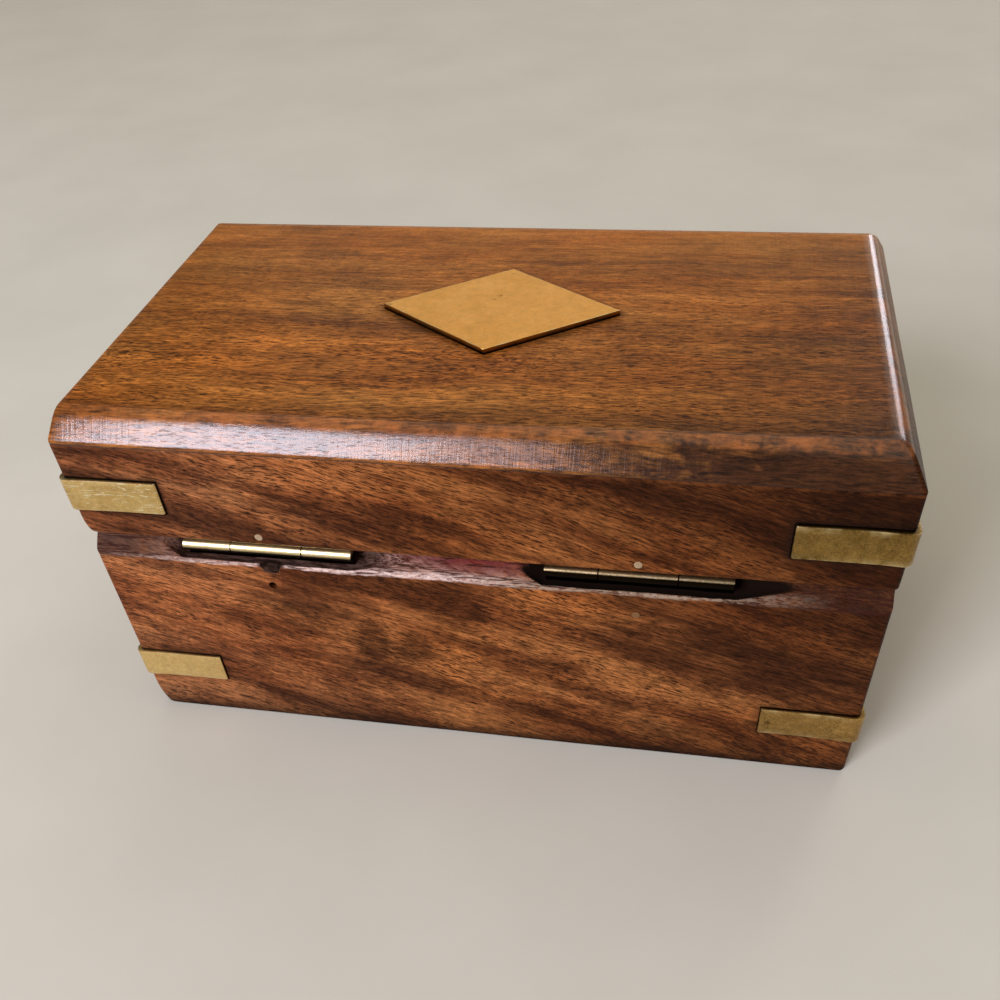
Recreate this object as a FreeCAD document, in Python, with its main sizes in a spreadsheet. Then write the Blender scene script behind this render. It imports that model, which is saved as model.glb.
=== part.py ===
import FreeCAD, Part
import math
import os
from collections import namedtuple
from types import SimpleNamespace

import Sketcher

os.makedirs("parts", exist_ok=True)

# A small wooden box with a hinged lid, brass corner straps and a brass diamond in its top.
# Millimetres. +Z is up and the base stands on Z = 0. X runs along the box and the hinged back
# faces +Y, so left (-X) and right (+X) are as seen from the front.

SIZES = {
    # Boards of the base and the lid
    "box_length": 152.0,
    "box_depth": 89.0,
    "rim_height": 50.0,
    "parting_gap": 0.2,
    "lid_wall_height": 20.3,
    "top_thickness": 5.5,
    "wall": 8.0,
    "corner_radius": 0.9,
    "tongue_flat": 3.1,
    "bottom_thickness": 5.0,
    "bottom_rebate": 4.0,
    # Bevel of the top board: how far it runs in from each edge
    "top_edge_band": 1.2,
    "bevel_left": 4.8,
    "bevel_right": 2.6,
    "bevel_front": 6.0,
    "bevel_back_left": 6.8,
    "bevel_back_right": 2.6,
    "top_corner_radius": 0.7,
    # Chamfer and hollows along the base's back rim
    "rim_chamfer_height": 5.2,
    "rim_chamfer_depth": 4.6,
    "hollow_radius": 2.9,
    "hollow_end_gap": 0.6,
    "hollow_run_left": 13.0,
    "hollow_run_right": 5.0,
    # Hinges
    "left_hinge_margin": 27.3,
    "right_hinge_margin": 19.2,
    "hinge_length": 34.2,
    "middle_knuckle": 14.2,
    "knuckle_gap": 0.25,
    "knuckle_radius": 1.2,
    "leaf_thickness": 0.6,
    "leaf_reach": 12.0,
    "pin_radius": 0.6,
    "pin_clearance": 0.05,
    "hinge_inset": 2.0,
    "hinge_drop": 2.5,
    "kerf_clearance": 0.1,
    "kerf_end_gap": 0.3,
    # Nails through the hinge leaves
    "nail_radius": 0.75,
    "nail_tip_margin": 1.0,
    "nail_clearance": 0.03,
    "lid_nail_rise": 1.8,
    "base_nail_drop": 10.2,
    "sunk_nail_depth": 1.5,
    # Corner straps
    "strap_leg": 18.9,
    "strap_width": 7.1,
    "strap_bed_depth": 0.4,
    "strap_proud": 0.9,
    "strap_gap": 0.35,
    "base_strap_rise": 10.4,
    "lid_strap_rise": 6.0,
    # Diamond plate
    "diamond_length": 47.0,
    "diamond_width": 33.0,
    "diamond_thickness": 2.0,
    "diamond_proud": 1.0,
    "diamond_gap": 0.3,
    "diamond_edge_round": 0.3,
    # Felt lining and the glue under brass and felt
    "felt_thickness": 0.8,
    "felt_gap": 0.25,
    "felt_rim_margin": 1.2,
    "glue_line": 0.05,
    # How far a cutting outline reaches past the face that it cuts
    "cut_overrun": 2.0,
}

document = FreeCAD.newDocument("hinged_box")
sheet = document.addObject("Spreadsheet::Sheet", "sizes")
for row, (name, value) in enumerate(SIZES.items(), start=1):
    sheet.set(f"A{row}", name)
    sheet.set(f"B{row}", str(value))
    sheet.setAlias(f"B{row}", name)
document.recompute()


class Length:
    """A length: its present value, and the expression that ties it to the sheet."""

    def __init__(self, value, text):
        self.value = value
        self.text = text

    def __add__(self, other):
        other = as_length(other)
        return Length(self.value + other.value, f"({self.text} + {other.text})")

    def __sub__(self, other):
        other = as_length(other)
        return Length(self.value - other.value, f"({self.text} - {other.text})")

    def __mul__(self, factor):
        return Length(self.value * factor, f"({self.text} * {factor})")

    def __truediv__(self, divisor):
        return Length(self.value / divisor, f"({self.text} / {divisor})")

    def __neg__(self):
        return self * -1


def as_length(number):
    if isinstance(number, Length):
        return number
    return Length(float(number), str(float(number)))


def other_leg(hypotenuse, leg):
    """The second leg of a right triangle."""
    value = math.sqrt(hypotenuse.value ** 2 - leg.value ** 2)
    return Length(value, f"sqrt({hypotenuse.text} ^ 2 - {leg.text} ^ 2)")


# The arc about (x, y) that leaves a corner of an outline: turn is 1 anticlockwise, -1 clockwise.
Arc = namedtuple("Arc", "x y turn")

size = SimpleNamespace(**{name: Length(value, f"sizes.{name}") for name, value in SIZES.items()})
zero = as_length(0)

# Levels and faces that several pieces share
half_length = size.box_length / 2
half_depth = size.box_depth / 2
inner_half_length = half_length - size.wall
inner_half_depth = half_depth - size.wall
lap_face = half_depth - size.corner_radius - size.tongue_flat
lid_underside = size.rim_height + size.parting_gap
lid_wall_top = lid_underside + size.lid_wall_height
lid_top = lid_wall_top + size.top_thickness
pin_line_y = half_depth - size.hinge_inset
pin_line_z = size.rim_height - size.hinge_drop
pin_below_lid = size.hinge_drop + size.parting_gap
leaf_outer_y = pin_line_y - size.knuckle_radius + size.leaf_thickness
leaf_inner_y = pin_line_y - size.knuckle_radius
nail_hole_depth = size.wall - size.nail_tip_margin
nail_length = nail_hole_depth - size.sunk_nail_depth

# The middle of each hinge, which stands a margin in from its end of the box
HINGE_X = {
    "left": -half_length + size.left_hinge_margin + size.hinge_length / 2,
    "right": half_length - size.right_hinge_margin - size.hinge_length / 2,
}

# The X and Y side of each corner
CORNERS = {
    "back_right": (1, 1),
    "back_left": (-1, 1),
    "front_left": (-1, -1),
    "front_right": (1, -1),
}

nodes = []


def add_node(kind, label):
    node = document.addObject(kind, label)
    node.Label = label
    nodes.append(node)
    return node


def place(thing, x=zero, y=zero, z=zero, axis=(0, 0, 1), turn=0):
    thing.Placement.Rotation = FreeCAD.Rotation(FreeCAD.Vector(*axis), turn)
    for letter, length in zip("xyz", (x, y, z)):
        thing.setExpression(f"Placement.Base.{letter}", length.text)


def sketch_on(body, plane, name, x=zero, y=zero, lift=zero):
    """A sketch on one of the body's own planes, moved within it by x and y and along its normal."""
    sketch = body.newObject("Sketcher::SketchObject", f"{body.Name}_{name}")
    support = next(item for item in body.Origin.OriginFeatures if item.Role == plane)
    sketch.AttachmentSupport = [(support, "")]
    sketch.MapMode = "FlatFace"
    for letter, length in zip("xyz", (x, y, lift)):
        sketch.setExpression(f"AttachmentOffset.Base.{letter}", length.text)
    return sketch


def tie_point(sketch, edge, end, x, y):
    """Holds one end (or centre) of an edge at x and y; either may be left free with None."""
    for kind, length in (("DistanceX", x), ("DistanceY", y)):
        if length is not None:
            tie = sketch.addConstraint(Sketcher.Constraint(kind, edge, end, length.value))
            sketch.setExpression(f"Constraints[{tie}]", length.text)


def draw_edge(sketch, start, end, arc):
    """Adds one edge of an outline; returns its number and the numbers of its two ends."""
    start_point = FreeCAD.Vector(start[0].value, start[1].value, 0)
    end_point = FreeCAD.Vector(end[0].value, end[1].value, 0)
    if arc is None:
        return sketch.addGeometry(Part.LineSegment(start_point, end_point), False), 1, 2
    centre = FreeCAD.Vector(arc.x.value, arc.y.value, 0)
    circle = Part.Circle(centre, FreeCAD.Vector(0, 0, 1), (start_point - centre).Length)
    first, last = (start_point, end_point) if arc.turn > 0 else (end_point, start_point)
    angles = [math.atan2(point.y - centre.y, point.x - centre.x) for point in (first, last)]
    edge = sketch.addGeometry(Part.ArcOfCircle(circle, *angles), False)
    return (edge, 1, 2) if arc.turn > 0 else (edge, 2, 1)


def draw(sketch, corners):
    """A closed outline through corners (x, y) or (x, y, arc to the next corner)."""
    edges = []
    for corner, following in zip(corners, corners[1:] + corners[:1]):
        arc = corner[2] if len(corner) > 2 else None
        edges.append(draw_edge(sketch, corner, following, arc))
    for index, (edge, start, _) in enumerate(edges):
        previous_edge, _, previous_end = edges[index - 1]
        sketch.addConstraint(Sketcher.Constraint("Coincident", previous_edge, previous_end, edge, start))
    for corner, (edge, start, _) in zip(corners, edges):
        tie_point(sketch, edge, start, corner[0], corner[1])
        if len(corner) > 2:
            tie_point(sketch, edge, 3, corner[2].x, None)


def draw_box(sketch, x_low, x_high, y_low, y_high):
    draw(sketch, [(x_low, y_low), (x_high, y_low), (x_high, y_high), (x_low, y_high)])


def draw_circle(sketch, x, y, radius):
    centre = FreeCAD.Vector(x.value, y.value, 0)
    circle = sketch.addGeometry(Part.Circle(centre, FreeCAD.Vector(0, 0, 1), radius.value), False)
    tie_point(sketch, circle, 3, x, y)
    tie = sketch.addConstraint(Sketcher.Constraint("Radius", circle, radius.value))
    sketch.setExpression(f"Constraints[{tie}]", radius.text)


def pad(body, sketch, length, side="One side"):
    feature = body.newObject("PartDesign::Pad", f"{sketch.Name}_pad")
    feature.Profile = sketch
    feature.SideType = side
    feature.setExpression("Length", length.text)
    document.recompute()
    return feature


def finish_cut(body, feature, volume_before):
    document.recompute()
    if body.Shape.Volume >= volume_before:
        raise RuntimeError(f"{feature.Name} takes nothing away")


def pocket(body, sketch, depth, side="One side", along_normal=False):
    """Cuts the outline into the body, against the sketch's normal or along it."""
    volume_before = body.Shape.Volume
    feature = body.newObject("PartDesign::Pocket", f"{sketch.Name}_cut")
    feature.Profile = sketch
    feature.SideType = side
    feature.Reversed = along_normal
    feature.setExpression("Length", depth.text)
    finish_cut(body, feature, volume_before)


def groove(body, sketch):
    """Turns the outline about the sketch's own horizontal axis and cuts it away."""
    volume_before = body.Shape.Volume
    feature = body.newObject("PartDesign::Groove", f"{sketch.Name}_cut")
    feature.Profile = sketch
    feature.ReferenceAxis = (sketch, ["H_Axis"])
    feature.Angle = 360
    finish_cut(body, feature, volume_before)


def draw_corner_band(sketch, corner_x, corner_y, side_x, side_y, outside, inside, leg):
    """The plan of a strap, or of its bed, bent round the outer corner at (corner_x, corner_y)."""

    def at(along_x, along_y):
        return corner_x + along_x * side_x, corner_y + along_y * side_y

    turn = side_x * side_y
    bend = size.corner_radius
    centre = at(-bend, -bend)
    draw(sketch, [
        at(outside, -leg),
        (*at(outside, -bend), Arc(*centre, turn)),
        at(-bend, outside),
        at(-leg, outside),
        at(-leg, -inside),
        (*at(-bend, -inside), Arc(*centre, -turn)),
        at(-inside, -bend),
        at(-inside, -leg),
    ])


def cut_strap_bed(body, rise, side_x, side_y):
    """The shallow bed for a corner strap, with a gap left round the strap."""
    name = f"strap_bed_{'right' if side_x > 0 else 'left'}_{'back' if side_y > 0 else 'front'}"
    bed = sketch_on(body, "XY_Plane", name, lift=rise - size.strap_gap)
    draw_corner_band(bed, half_length * side_x, half_depth * side_y, side_x, side_y,
                     size.cut_overrun, size.strap_bed_depth, size.strap_leg + size.strap_gap)
    pocket(body, bed, size.strap_width + size.strap_gap * 2, along_normal=True)


def long_board(label, height, strap_rise):
    """A front or back board, drawn at the back, with a rebate in each end for a side board."""
    body = add_node("PartDesign::Body", label)
    bend = size.corner_radius
    plan = sketch_on(body, "XY_Plane", "plan")
    draw(plan, [
        (-inner_half_length, inner_half_depth),
        (inner_half_length, inner_half_depth),
        (inner_half_length, lap_face),
        (half_length, lap_face),
        (half_length, half_depth - bend, Arc(half_length - bend, half_depth - bend, 1)),
        (half_length - bend, half_depth),
        (-half_length + bend, half_depth, Arc(-half_length + bend, half_depth - bend, 1)),
        (-half_length, half_depth - bend),
        (-half_length, lap_face),
        (-inner_half_length, lap_face),
    ])
    pad(body, plan, height)
    for side_x in (1, -1):
        cut_strap_bed(body, strap_rise, side_x, 1)
    return body


def side_board(label, height, strap_rise):
    """A left or right board, drawn at the right, whose ends sit in the long boards' rebates."""
    body = add_node("PartDesign::Body", label)
    plan = sketch_on(body, "XY_Plane", "plan")
    draw_box(plan, inner_half_length, half_length, -lap_face, lap_face)
    pad(body, plan, height)
    for side_y in (1, -1):
        cut_strap_bed(body, strap_rise, 1, side_y)
    return body


def rebate_for_bottom(body, plane, inner_face, run):
    """The step in a wall's lower inner edge that takes the bottom board."""
    rebate = sketch_on(body, plane, "bottom_rebate")
    draw_box(rebate, inner_face - size.cut_overrun, inner_face + size.bottom_rebate,
             -size.cut_overrun, size.bottom_thickness)
    pocket(body, rebate, run, side="Symmetric")


def cut_kerfs(body, level, depth, upward):
    """One saw cut per hinge for its leaf, from the given level up or down."""
    kerfs = sketch_on(body, "XY_Plane", "hinge_kerfs", lift=level)
    half_kerf = size.hinge_length / 2 + size.kerf_end_gap
    for x in HINGE_X.values():
        draw_box(kerfs, x - half_kerf, x + half_kerf,
                 leaf_inner_y - size.kerf_clearance, leaf_outer_y + size.kerf_clearance)
    pocket(body, kerfs, depth, along_normal=upward)


def cut_nail_holes(body, z):
    """One hole per hinge, from the back face inward."""
    holes = sketch_on(body, "XZ_Plane", "nail_holes", lift=-half_depth)
    for x in HINGE_X.values():
        draw_circle(holes, x, z, size.nail_radius + size.nail_clearance)
    pocket(body, holes, nail_hole_depth + size.nail_clearance, along_normal=True)


def chamfer_rim(body):
    """The sloping flat along the base's back rim, which gives the lid room to lean back."""
    slope = sketch_on(body, "YZ_Plane", "rim_chamfer")
    rim = size.rim_height
    low = rim - size.rim_chamfer_height
    outside = half_depth + size.cut_overrun
    draw(slope, [
        (half_depth - size.rim_chamfer_depth, rim),
        (half_depth, low),
        (outside, low),
        (outside, rim + size.cut_overrun),
        (half_depth - size.rim_chamfer_depth, rim + size.cut_overrun),
    ])
    pocket(body, slope, size.box_length, side="Symmetric")


def scoop_hollows(body):
    """A hollow round each hinge barrel that tapers out along the rim, further to the left."""
    half_trough = size.hinge_length / 2 + size.hollow_end_gap
    for side, x in HINGE_X.items():
        hollow = sketch_on(body, "XZ_Plane", f"{side}_hollow", x=x, y=pin_line_z, lift=-pin_line_y)
        draw(hollow, [
            (-half_trough - size.hollow_run_left, zero),
            (half_trough + size.hollow_run_right, zero),
            (half_trough, size.hollow_radius),
            (-half_trough, size.hollow_radius),
        ])
        groove(body, hollow)


def base_boards():
    for label, turn in (("base_back_board", 0), ("base_front_board", 180)):
        board = long_board(label, size.rim_height, size.base_strap_rise)
        rebate_for_bottom(board, "YZ_Plane", inner_half_depth, size.box_length)
        if label == "base_back_board":
            chamfer_rim(board)
            scoop_hollows(board)
            kerf_depth = size.hinge_drop + size.leaf_reach + size.kerf_end_gap
            cut_kerfs(board, size.rim_height, kerf_depth, upward=False)
            cut_nail_holes(board, size.rim_height - size.base_nail_drop)
        place(board, turn=turn)
    for label, turn in (("base_right_board", 0), ("base_left_board", 180)):
        board = side_board(label, size.rim_height, size.base_strap_rise)
        rebate_for_bottom(board, "XZ_Plane", inner_half_length, size.box_depth)
        place(board, turn=turn)


def bottom_board():
    body = add_node("PartDesign::Body", "base_bottom_board")
    plan = sketch_on(body, "XY_Plane", "plan")
    reach_x = inner_half_length + size.bottom_rebate
    reach_y = inner_half_depth + size.bottom_rebate
    draw_box(plan, -reach_x, reach_x, -reach_y, reach_y)
    pad(body, plan, size.bottom_thickness)
    place(body)


def lid_boards():
    for label, turn in (("lid_back_board", 0), ("lid_front_board", 180)):
        board = long_board(label, size.lid_wall_height, size.lid_strap_rise)
        if label == "lid_back_board":
            kerf_depth = size.leaf_reach - pin_below_lid + size.kerf_end_gap
            cut_kerfs(board, zero, kerf_depth, upward=True)
            cut_nail_holes(board, size.lid_nail_rise)
        place(board, z=lid_underside, turn=turn)
    for label, turn in (("lid_right_board", 0), ("lid_left_board", 180)):
        board = side_board(label, size.lid_wall_height, size.lid_strap_rise)
        place(board, z=lid_underside, turn=turn)


def draw_rounded_plate(sketch, left, right, front, back_left, back_right, radius):
    """A four-sided plan with rounded corners, whose back edge may run askew."""
    draw(sketch, [
        (left + radius, front),
        (right - radius, front, Arc(right - radius, front + radius, 1)),
        (right, front + radius),
        (right, back_right - radius, Arc(right - radius, back_right - radius, 1)),
        (right - radius, back_right),
        (left + radius, back_left, Arc(left + radius, back_left - radius, 1)),
        (left, back_left - radius),
        (left, front + radius, Arc(left + radius, front + radius, 1)),
    ])


def draw_diamond(sketch, half_x, half_y):
    draw(sketch, [(half_x, zero), (zero, half_y), (-half_x, zero), (zero, -half_y)])


def top_board():
    """The lid's top: a low upright edge, a hand-cut bevel and a bed for the diamond plate."""
    body = add_node("PartDesign::Body", "lid_top_board")
    plan = sketch_on(body, "XY_Plane", "plan")
    edge_plan = sketch_on(body, "XY_Plane", "edge_plan", lift=size.top_edge_band)
    for sketch in (plan, edge_plan):
        draw_rounded_plate(sketch, -half_length, half_length, -half_depth, half_depth, half_depth,
                           size.corner_radius)
    top_plan = sketch_on(body, "XY_Plane", "top_plan", lift=size.top_thickness)
    draw_rounded_plate(top_plan, -half_length + size.bevel_left, half_length - size.bevel_right,
                       -half_depth + size.bevel_front, half_depth - size.bevel_back_left,
                       half_depth - size.bevel_back_right, size.top_corner_radius)
    pad(body, plan, size.top_edge_band)
    bevel = body.newObject("PartDesign::AdditiveLoft", "lid_top_board_bevel")
    bevel.Profile = edge_plan
    bevel.Sections = [top_plan]
    bevel.Ruled = True
    document.recompute()
    bed = sketch_on(body, "XY_Plane", "diamond_bed", lift=size.top_thickness)
    draw_diamond(bed, size.diamond_length / 2 + size.diamond_gap, size.diamond_width / 2 + size.diamond_gap)
    pocket(body, bed, size.diamond_thickness - size.diamond_proud + size.glue_line)
    place(body, z=lid_wall_top)


def diamond_plate():
    body = add_node("PartDesign::Body", "lid_diamond_plate")
    plan = sketch_on(body, "XY_Plane", "plan")
    draw_diamond(plan, size.diamond_length / 2, size.diamond_width / 2)
    plate = pad(body, plan, size.diamond_thickness)
    upper_edges = [
        f"Edge{number}" for number, edge in enumerate(plate.Shape.Edges, start=1)
        if edge.BoundBox.ZMin > SIZES["diamond_thickness"] / 2
    ]
    rounding = body.newObject("PartDesign::Fillet", "diamond_edge")
    rounding.Base = (plate, upper_edges)
    rounding.setExpression("Radius", size.diamond_edge_round.text)
    document.recompute()
    place(body, z=lid_top + size.diamond_proud - size.diamond_thickness)


def corner_strap(label, rise, side_x, side_y):
    """A brass strap bent round a corner, drawn as the right back one with its corner at the origin."""
    body = add_node("PartDesign::Body", label)
    plan = sketch_on(body, "XY_Plane", "plan")
    draw_corner_band(plan, zero, zero, 1, 1, size.strap_proud,
                     size.strap_bed_depth - size.glue_line, size.strap_leg)
    pad(body, plan, size.strap_width)
    turn = math.degrees(math.atan2(side_y, side_x) - math.atan2(1, 1))
    place(body, half_length * side_x, half_depth * side_y, rise, turn=turn)


def corner_straps():
    rises = {"base": size.base_strap_rise, "lid": lid_underside + size.lid_strap_rise}
    for part, rise in rises.items():
        for corner, (side_x, side_y) in CORNERS.items():
            corner_strap(f"{part}_strap_{corner}", rise, side_x, side_y)


def hinge_leaf(label, x, direction, nail_level):
    """A leaf with its knuckles rolled round the pin line; direction is 1 up, -1 down.

    The leaf lies flat against the inner side of the knuckle, and nail_level is above the pin line.
    """
    body = add_node("PartDesign::Body", label)
    radius = size.knuckle_radius
    outer_face = size.leaf_thickness - radius
    plate_end = size.leaf_reach * direction
    meeting = other_leg(radius, outer_face) * direction
    section = sketch_on(body, "YZ_Plane", "section")
    draw(section, [
        (-radius, plate_end),
        (-radius, zero, Arc(zero, zero, direction)),
        (outer_face, meeting),
        (outer_face, plate_end),
    ])
    draw_circle(section, zero, zero, size.pin_radius + size.pin_clearance)
    pad(body, section, size.hinge_length, side="Symmetric")

    gaps = sketch_on(body, "XZ_Plane", "knuckle_gaps")
    clear_end = (radius + size.knuckle_gap) * direction
    far_end = -(radius + size.cut_overrun) * direction
    half_middle = size.middle_knuckle / 2
    outer_end = size.hinge_length / 2 + size.cut_overrun
    if direction > 0:
        draw_box(gaps, half_middle, outer_end, far_end, clear_end)
        draw_box(gaps, -outer_end, -half_middle, far_end, clear_end)
    else:
        half_gap = half_middle + size.knuckle_gap
        draw_box(gaps, -half_gap, half_gap, clear_end, far_end)
    pocket(body, gaps, (radius + size.cut_overrun) * 2, side="Symmetric")

    hole = sketch_on(body, "XZ_Plane", "nail_hole")
    draw_circle(hole, zero, nail_level, size.nail_radius + size.nail_clearance)
    pocket(body, hole, (radius + size.cut_overrun) * 2, side="Symmetric")
    place(body, x, pin_line_y, pin_line_z)


def hinges():
    for side, x in HINGE_X.items():
        hinge_leaf(f"{side}_hinge_base_leaf", x, -1, size.hinge_drop - size.base_nail_drop)
        hinge_leaf(f"{side}_hinge_lid_leaf", x, 1, pin_below_lid + size.lid_nail_rise)
        pin = add_node("Part::Cylinder", f"{side}_hinge_pin")
        pin.setExpression("Radius", size.pin_radius.text)
        pin.setExpression("Height", size.hinge_length.text)
        place(pin, x - size.hinge_length / 2, pin_line_y, pin_line_z, axis=(0, 1, 0), turn=90)


def hinge_nails(label, z, sunk):
    """The nails through one part's leaves, driven from the back; sunk gives how deep each head lies."""
    nails = []
    for side, x in HINGE_X.items():
        nail = document.addObject("Part::Cylinder", f"{label}_{side}")
        nail.setExpression("Radius", size.nail_radius.text)
        nail.setExpression("Height", nail_length.text)
        place(nail, x, half_depth - sunk[side], z, axis=(1, 0, 0), turn=90)
        nails.append(nail)
    group = add_node("Part::Compound", label)
    group.Links = nails


def nail_groups():
    base_level = size.rim_height - size.base_nail_drop
    lid_level = lid_underside + size.lid_nail_rise
    hinge_nails("base_hinge_nails", base_level, {"left": zero, "right": size.sunk_nail_depth})
    hinge_nails("lid_hinge_nails", lid_level, {"left": zero, "right": zero})


def felt(label, x_low, x_high, y_low, y_high, z_low, z_high):
    sheet_of_felt = add_node("Part::Box", label)
    sheet_of_felt.setExpression("Length", (x_high - x_low).text)
    sheet_of_felt.setExpression("Width", (y_high - y_low).text)
    sheet_of_felt.setExpression("Height", (z_high - z_low).text)
    place(sheet_of_felt, x_low, y_low, z_low)


def lining(part, flat_label, flat_low, wall_low, wall_high):
    """A flat felt on the floor or ceiling, and one felt on each wall."""
    flat_x = inner_half_length - size.felt_gap
    flat_y = inner_half_depth - size.felt_gap
    wall_x = inner_half_length - size.glue_line
    wall_y = inner_half_depth - size.glue_line
    short_y = wall_y - size.felt_thickness - size.felt_gap
    felt(f"{part}_{flat_label}_felt", -flat_x, flat_x, -flat_y, flat_y,
         flat_low, flat_low + size.felt_thickness)
    felt(f"{part}_back_felt", -flat_x, flat_x, wall_y - size.felt_thickness, wall_y, wall_low, wall_high)
    felt(f"{part}_front_felt", -flat_x, flat_x, -wall_y, -wall_y + size.felt_thickness, wall_low, wall_high)
    felt(f"{part}_right_felt", wall_x - size.felt_thickness, wall_x, -short_y, short_y, wall_low, wall_high)
    felt(f"{part}_left_felt", -wall_x, -wall_x + size.felt_thickness, -short_y, short_y, wall_low, wall_high)


def linings():
    floor = size.bottom_thickness + size.glue_line
    lining("base", "floor", floor, floor + size.felt_thickness + size.felt_gap,
           size.rim_height - size.felt_rim_margin)
    ceiling = lid_wall_top - size.glue_line - size.felt_thickness
    lining("lid", "ceiling", ceiling, lid_underside + size.felt_rim_margin, ceiling - size.felt_gap)


def write_parts():
    document.recompute()
    for thing in document.Objects:
        if "Invalid" in thing.State or "Error" in thing.State:
            raise RuntimeError(f"{thing.Name} failed: {thing.State}")
    for node in nodes:
        if node.Shape.isNull() or not node.Shape.isValid():
            raise RuntimeError(f"{node.Label} has no valid shape")
    for node in nodes:
        node.Shape.exportStep(f"parts/{node.Label}.step")
        print(f"{node.Label}: {len(node.Shape.Solids)} solids, {node.Shape.Volume:.1f} mm3")


base_boards()
bottom_board()
lid_boards()
top_board()
diamond_plate()
corner_straps()
hinges()
nail_groups()
linings()
write_parts()
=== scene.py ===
"""A small lacquered hardwood box with brass corner straps, a brass lozenge in the lid and a felt lining."""

import math
from dataclasses import dataclass

import bmesh
import bpy
from mathutils import Matrix, Vector, noise


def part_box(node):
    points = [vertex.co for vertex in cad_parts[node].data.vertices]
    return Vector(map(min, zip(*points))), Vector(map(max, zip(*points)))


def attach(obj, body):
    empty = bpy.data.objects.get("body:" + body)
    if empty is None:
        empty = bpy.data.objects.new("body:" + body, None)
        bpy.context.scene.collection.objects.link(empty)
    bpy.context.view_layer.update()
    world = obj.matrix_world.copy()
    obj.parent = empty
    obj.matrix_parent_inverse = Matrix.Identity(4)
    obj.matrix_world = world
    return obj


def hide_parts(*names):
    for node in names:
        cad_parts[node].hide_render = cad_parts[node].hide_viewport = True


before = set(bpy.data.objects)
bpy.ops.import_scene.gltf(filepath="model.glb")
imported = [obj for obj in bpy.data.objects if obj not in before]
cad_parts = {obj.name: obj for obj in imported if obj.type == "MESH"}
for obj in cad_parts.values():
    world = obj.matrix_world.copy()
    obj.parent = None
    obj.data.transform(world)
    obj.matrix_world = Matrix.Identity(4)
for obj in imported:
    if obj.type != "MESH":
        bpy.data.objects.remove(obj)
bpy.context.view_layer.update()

MM = 0.001


# Sizes in millimetres, read from the frame where a node gives them

def node_box(node):
    low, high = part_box(node)
    return low / MM, high / MM


base_back_low, base_back_high = node_box("base_back_board")
base_right_low, base_right_high = node_box("base_right_board")
lid_back_low, lid_back_high = node_box("lid_back_board")
lid_top_low, lid_top_high = node_box("lid_top_board")
bottom_high = node_box("base_bottom_board")[1]
base_strap_low, base_strap_high = node_box("base_strap_back_right")
lid_strap_low, lid_strap_high = node_box("lid_strap_back_right")
diamond_low, diamond_high = node_box("lid_diamond_plate")
nails_low, nails_high = node_box("base_hinge_nails")

half_length = base_back_high.x
half_depth = base_back_high.y
inner_half_length = base_right_low.x
inner_half_depth = base_back_low.y
lap_face = base_right_high.y
rim = base_back_high.z
strap_proud = base_strap_high.x - half_length
strap_start = base_strap_low.x

CORNER_RADIUS = 0.9
WORN_ENDS = {"base": (1.5, 3.3), "lid": (1.2, 2.4)}
WORN_RISE = {"base": 7.0, "lid": 3.5}
ARRIS = 0.45
STRAP_BED_DEPTH = 0.4
STRAP_GAP = 0.22
STRAP_END_PROUD = 0.6
STRAP_END_RUN = 0.35
STRAP_END_EASE = 0.22
STRAP_SPRING = 9.0
STRAP_PLAY = 0.06
STRAP_LEG_STEPS = 16
STRAP_BEND_STEPS = 12
BED_EDGE = 0.04
# The stain round a strap's bed, partly painted shade where strap and wood meet
BED_STAIN_AND_SHADE_ABOVE = 1.1
BED_STAIN_AND_SHADE_BELOW = 0.5
BED_STAIN_AND_SHADE_BEFORE = 0.8
# Heights below which painted contact shade darkens the base's foot
FOOT_SHADE_HIGH = 12.0
FOOT_SHADE_LOW = 3.6
FACE_WAVE = 0.07
WALL_STEP = 3.0
CARVED_STEP = 0.5
RIM_CHAMFER_HEIGHT = 5.2
RIM_CHAMFER_DEPTH = 4.6
RIM_LIP = 0.35
RIM_POINTS = 36
GOUGE_PLACE = 39.0
GOUGE_DEPTH = 1.7
GOUGE_HALF_LENGTH = 2.0
GOUGE_REACH = 1.5
# The darkening round the gouge: soiling and painted shade in the dent
GOUGE_SOIL_AND_SHADE_HALF_LENGTH = 2.9
GOUGE_SOIL_AND_SHADE_REACH = 2.6
NAIL_RADIUS = 0.75
SUNK_NAIL_RADIUS = 0.85
SUNK_NAIL_DEPTH = 1.5
HOLLOW_RADIUS = 2.9
HOLLOW_END_GAP = 0.6
HOLLOW_RUN_LEFT = 13.0
HOLLOW_RUN_RIGHT = 5.0
# Painted shade in the hollows under the hinges: its depth and its strength at each hinge
HOLLOW_SHADE_DEPTH = 1.1
HOLLOW_SHADE_LEFT = 1.3
HOLLOW_SHADE_RIGHT = 0.72
TOP_CORNER_RADIUS = 0.7
TOP_SIDE_STEPS = 60
TOP_CORNER_STEPS = 8
BEVEL_TURN_STEPS = 10
BACK_BEVEL = ((-76.0, 5.6, 6.8), (0.0, 3.85, 4.9), (34.0, 3.6, 4.7), (76.0, 4.0, 5.2))
END_BEVELS = {"left": (3.1, 4.9), "right": (1.4, 2.1), "front": (5.1, 6.6)}
BAND_LEFT = 0.03
BAND_RIGHT = 0.11
DIAMOND_GAP = 0.3
DIAMOND_BED_DEPTH = 1.0
DIAMOND_SIDE_STEPS = 24
FELT_STEP = 3.0
SIDES = ("back", "left", "front", "right")

sunk_nail_place = (nails_high.x - NAIL_RADIUS, half_depth, (nails_low.z + nails_high.z) / 2)


# Small helpers for shapes

def between(low, high, share):
    return low + (high - low) * share


def ripple(first, second, seed, size):
    """A smooth unevenness from -1 to 1 whose waves are about size millimetres long."""
    return noise.noise(Vector((first / size, second / size, seed * 7.31)))


def ring_faces(first, second):
    """Quads between two closed rings of point numbers."""
    count = len(first)
    return [
        (first[k], first[(k + 1) % count], second[(k + 1) % count], second[k])
        for k in range(count)
    ]


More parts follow.
